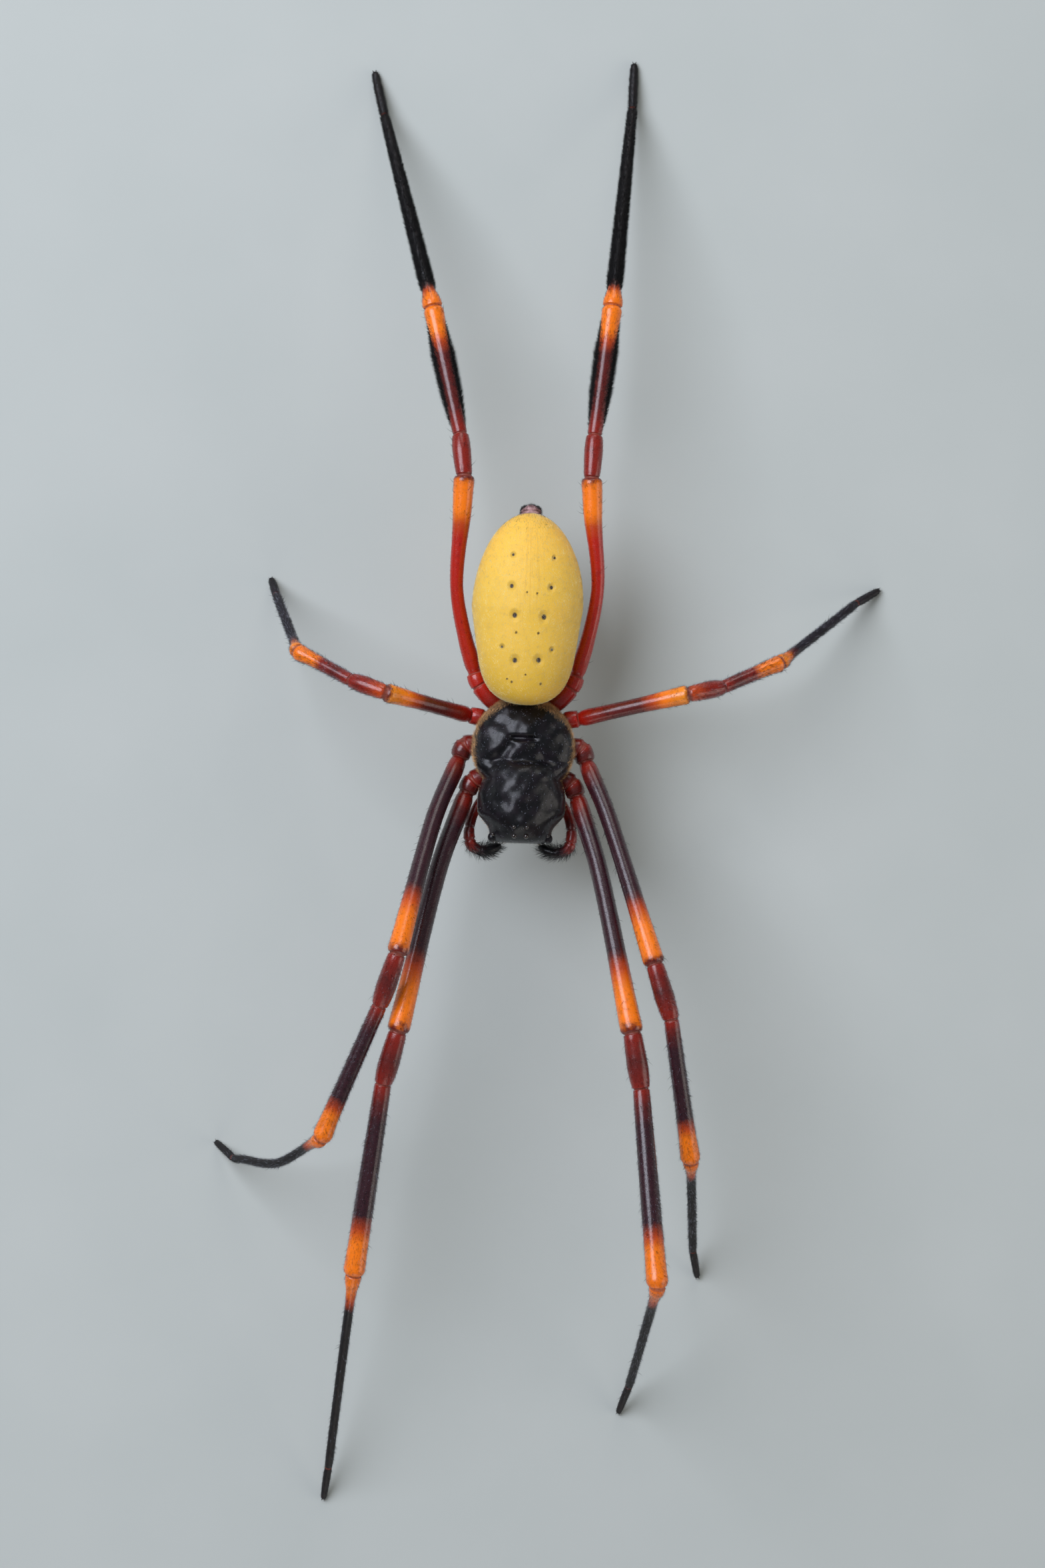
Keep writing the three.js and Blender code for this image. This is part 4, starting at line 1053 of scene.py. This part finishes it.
def sternum_section(y):
    """A heart-shaped plate, widest ahead of its middle."""
    share = (y - STERNUM.front) / (STERNUM.rear - STERNUM.front)
    heart = np.sqrt(clamp(np.sin(math.pi * share**0.72))) * (1.02 - 0.30 * share)
    half = STERNUM.half_width * heart
    deep = STERNUM.depth * np.sqrt(clamp(np.sin(math.pi * share)))
    return half, np.full_like(y, STERNUM.top), STERNUM.middle - deep, np.full_like(y, STERNUM.middle)


def below(share, at):
    return (at[..., 2] < 10.6) * 1.0


rings = body_rings(STERNUM.front, STERNUM.rear, 60, 60, sternum_section)
add_tube("sternum_plate", rings, plate, ["sternum"])
grow("sternum_hair", rings, 1200, 0.4, 0.011, 62, tan_hair, below)
print("the sternum is", 2 * STERNUM.half_width, "mm wide")


# %% Endites, labium, pedicel and epigyne
ENDITE_PLACE, ENDITE_RADII = (1.15, -4.9, 10.7), (1.35, 1.25, 1.15)
EPIGYNE_PLACE = 8.6


def inner_end(share, at):
    return np.exp(-share * 3) * (at[..., 2] < 11)


for word, side in SIDES.items():
    centre = np.array(ENDITE_PLACE) * (side, 1, 1)
    rings = ball(centre, ENDITE_RADII, 36, 36)
    rings += unit(rings - centre) * (unevenness(rings, 0.6, 0.08, 31)[..., None] - 0.04)
    add_tube(f"endite_{word}", rings, plate, ["mouthparts"])
    grow(f"endite_{word}_hair", rings, 700, 0.45, 0.011, 45, tan_hair, inner_end)
add_tube("labium", ball((0, -3.95, 10.0), (0.75, 0.75, 0.55), 26, 30), plate)
stalk, far = smooth_line([(0, 3.6, 10.8), (0, 5.4, 11.2), (0, 7.6, 11.6)])
at = np.linspace(0, far[-1], 40)
folds = rings_along(stalk, far, at, 0.60 + 0.03 * np.sin(at * 9), 24)
add_tube("pedicel_stalk", folds, plate, ["pedicel"])
_, high, centre = abdomen_section(EPIGYNE_PLACE)
add_tube("epigyne", ball((0, EPIGYNE_PLACE, float(centre - high) + 0.1), (1.25, 0.85, 0.5), 26, 36), plate)
print("two endites, the labium, the pedicel and the epigyne")

# %% [markdown]
# ## Spinnerets
#
# At the tail end four short cones stand in two pairs under a fifth, the anal knob. They are a dull
# purplish brown with dark fuzz at their tips. Each is a small tube with a slight fold half way along it.

# %% Spinnerets
SPINNERETS = Sizes(root=23.55, height=13.1, length=1.65, radius=0.55, spread=0.52, droop=-12)
dull = Finish("spinneret_skin")
place = dull.place()
cloud, speck = dull.noise(place, 2.0, detail=3), dull.noise(place, 10.0, detail=3)
colour = dull.coats((0.26, 0.13, 0.13), (cloud.ramp_up(0.35, 0.65), (0.50, 0.30, 0.30)),
                    (speck.ramp_up(0.5, 0.7) * 0.5, (0.10, 0.04, 0.045)))
dull.surface(Base_Color=colour, Roughness=0.5 + speck * 0.2, Normal=dull.bump(speck, 0.04))
collar = ball((0, SPINNERETS.root, SPINNERETS.height), (1.5, 0.95, 1.45), 30, 40)
add_tube("spinneret_collar", collar, dull, ["spinnerets"])
CONES = [("knob", 0, 0.45, 180, 1.0, 1.9)]
for word, side in SIDES.items():
    out, heading = side * SPINNERETS.spread, 180 - side * 6
    CONES += [(f"upper_{word}", out, 0.05, heading, 0.88, 1.0),
              (f"lower_{word}", out, -0.85, heading, 0.9, 1.1)]


def outer_part(share, at):
    return clamp(share - 0.3)


for word, x, z, heading, reach, thick in CONES:
    start = np.array([x, SPINNERETS.root, SPINNERETS.height + z])
    end = start + direction(heading, SPINNERETS.droop) * SPINNERETS.length * reach
    line, far = smooth_line([start, (start + end) / 2, end])
    at = np.linspace(0, far[-1], 40)
    share = at / far[-1]
    radii = SPINNERETS.radius * thick * np.interp(share, (0, 0.7, 0.93, 1), (1, 0.8, 0.45, 0.1))
    radii *= 1 - 0.14 * np.exp(-(((share - 0.55) / 0.03) ** 2))
    rings = rings_along(line, far, at, radii, 22)
    add_tube(f"spinneret_{word}", rings, dull)
    grow(f"spinneret_{word}_fuzz", rings, 420, 0.34, 0.010, 45, black_hair, outer_part)
print(len(CONES), "cones of the spinnerets;", sum(coat_faces), "faces of hair in all")

# %% [markdown]
# ## Camera, light and floor
#
# The photograph looks straight at the spider's back. Set on the floor, that is a camera straight above it,
# about 0.8 m up on a long lens, turned so that the head points down the page. Soft daylight comes from the
# upper left of the picture; a large panel there gives the long bluish reflections along the shell, and the
# pale sky fills the rest.

# %% Camera
CAMERA_HEIGHT, AIM, TURN = 800.0, (0.06, -3.88), 1.92
VIEW_HEIGHT, VIEW_LEVEL, SENSOR = 163.0, 14.0, 36.0
camera = bpy.data.objects.new("camera", bpy.data.cameras.new("camera"))
camera.data.sensor_width = SENSOR
camera.data.lens = SENSOR * (CAMERA_HEIGHT - VIEW_LEVEL) / VIEW_HEIGHT
camera.data.clip_start, camera.data.clip_end = 0.05, 10.0
camera.location = row_frame((*AIM, CAMERA_HEIGHT)).tolist()
camera.rotation_euler = (0, 0, math.radians(TURN))
bpy.context.collection.objects.link(camera)
bpy.context.scene.camera = camera
print("lens", round(camera.data.lens, 1), "mm")


# %% Panels and sky
BODY_HEIGHT = 12.0


def light_panel(name, heading, height, distance, size, power, tint):
    """A soft panel that faces the spider; heading turns from the head of the spider towards its left side."""
    light = bpy.data.lights.new(name, "AREA")
    light.shape = "DISK"
    light.size, light.energy, light.color = size, power, tint
    panel = bpy.data.objects.new(name, light)
    away = direction(heading, height)
    panel.location = (away * distance + (0, 0, BODY_HEIGHT * MM)).tolist()
    panel.rotation_euler = (0, math.radians(90 - height), math.atan2(away[1], away[0]))
    bpy.context.collection.objects.link(panel)


light_panel("window_panel", -125, 52, 0.62, 0.50, 4.2, (0.84, 0.88, 1.0))
light_panel("right_panel", 75, 14, 0.70, 0.60, 1.5, (1.0, 0.95, 0.88))
light_panel("front_panel", 0, 12, 0.70, 0.60, 1.0, (1.0, 0.96, 0.90))
light_panel("rear_panel", 175, 24, 0.70, 0.40, 1.0, (1.0, 0.98, 0.95))
world = bpy.data.worlds.new("soft_sky")
world.use_nodes = True
sky = world.node_tree.nodes["Background"].inputs
sky["Color"].default_value = (0.86, 0.93, 1.0, 1)
sky["Strength"].default_value = 0.19
bpy.context.scene.world = world
bpy.context.scene.view_settings.view_transform = "Standard"
print("four panels under a pale sky")

# %% Floor
HALF_FLOOR = 1.5
paper = Finish("floor_paper")
fibres = paper.noise(paper.place(), 0.05, detail=6)
tone = paper.mix(fibres, (0.46, 0.49, 0.46), (0.52, 0.54, 0.51))
paper.surface(Base_Color=tone, Roughness=0.85 + fibres * 0.1)
floor_mesh = bpy.data.meshes.new("floor")
corners = [(x * HALF_FLOOR, y * HALF_FLOOR, 0) for x, y in ((-1, -1), (1, -1), (1, 1), (-1, 1))]
floor_mesh.from_pydata(corners, [], [(0, 1, 2, 3)])
floor_mesh.materials.append(paper.material)
floor = bpy.data.objects.new("floor", floor_mesh)
bpy.context.collection.objects.link(floor)
print("a plain floor", 2 * HALF_FLOOR, "m wide")
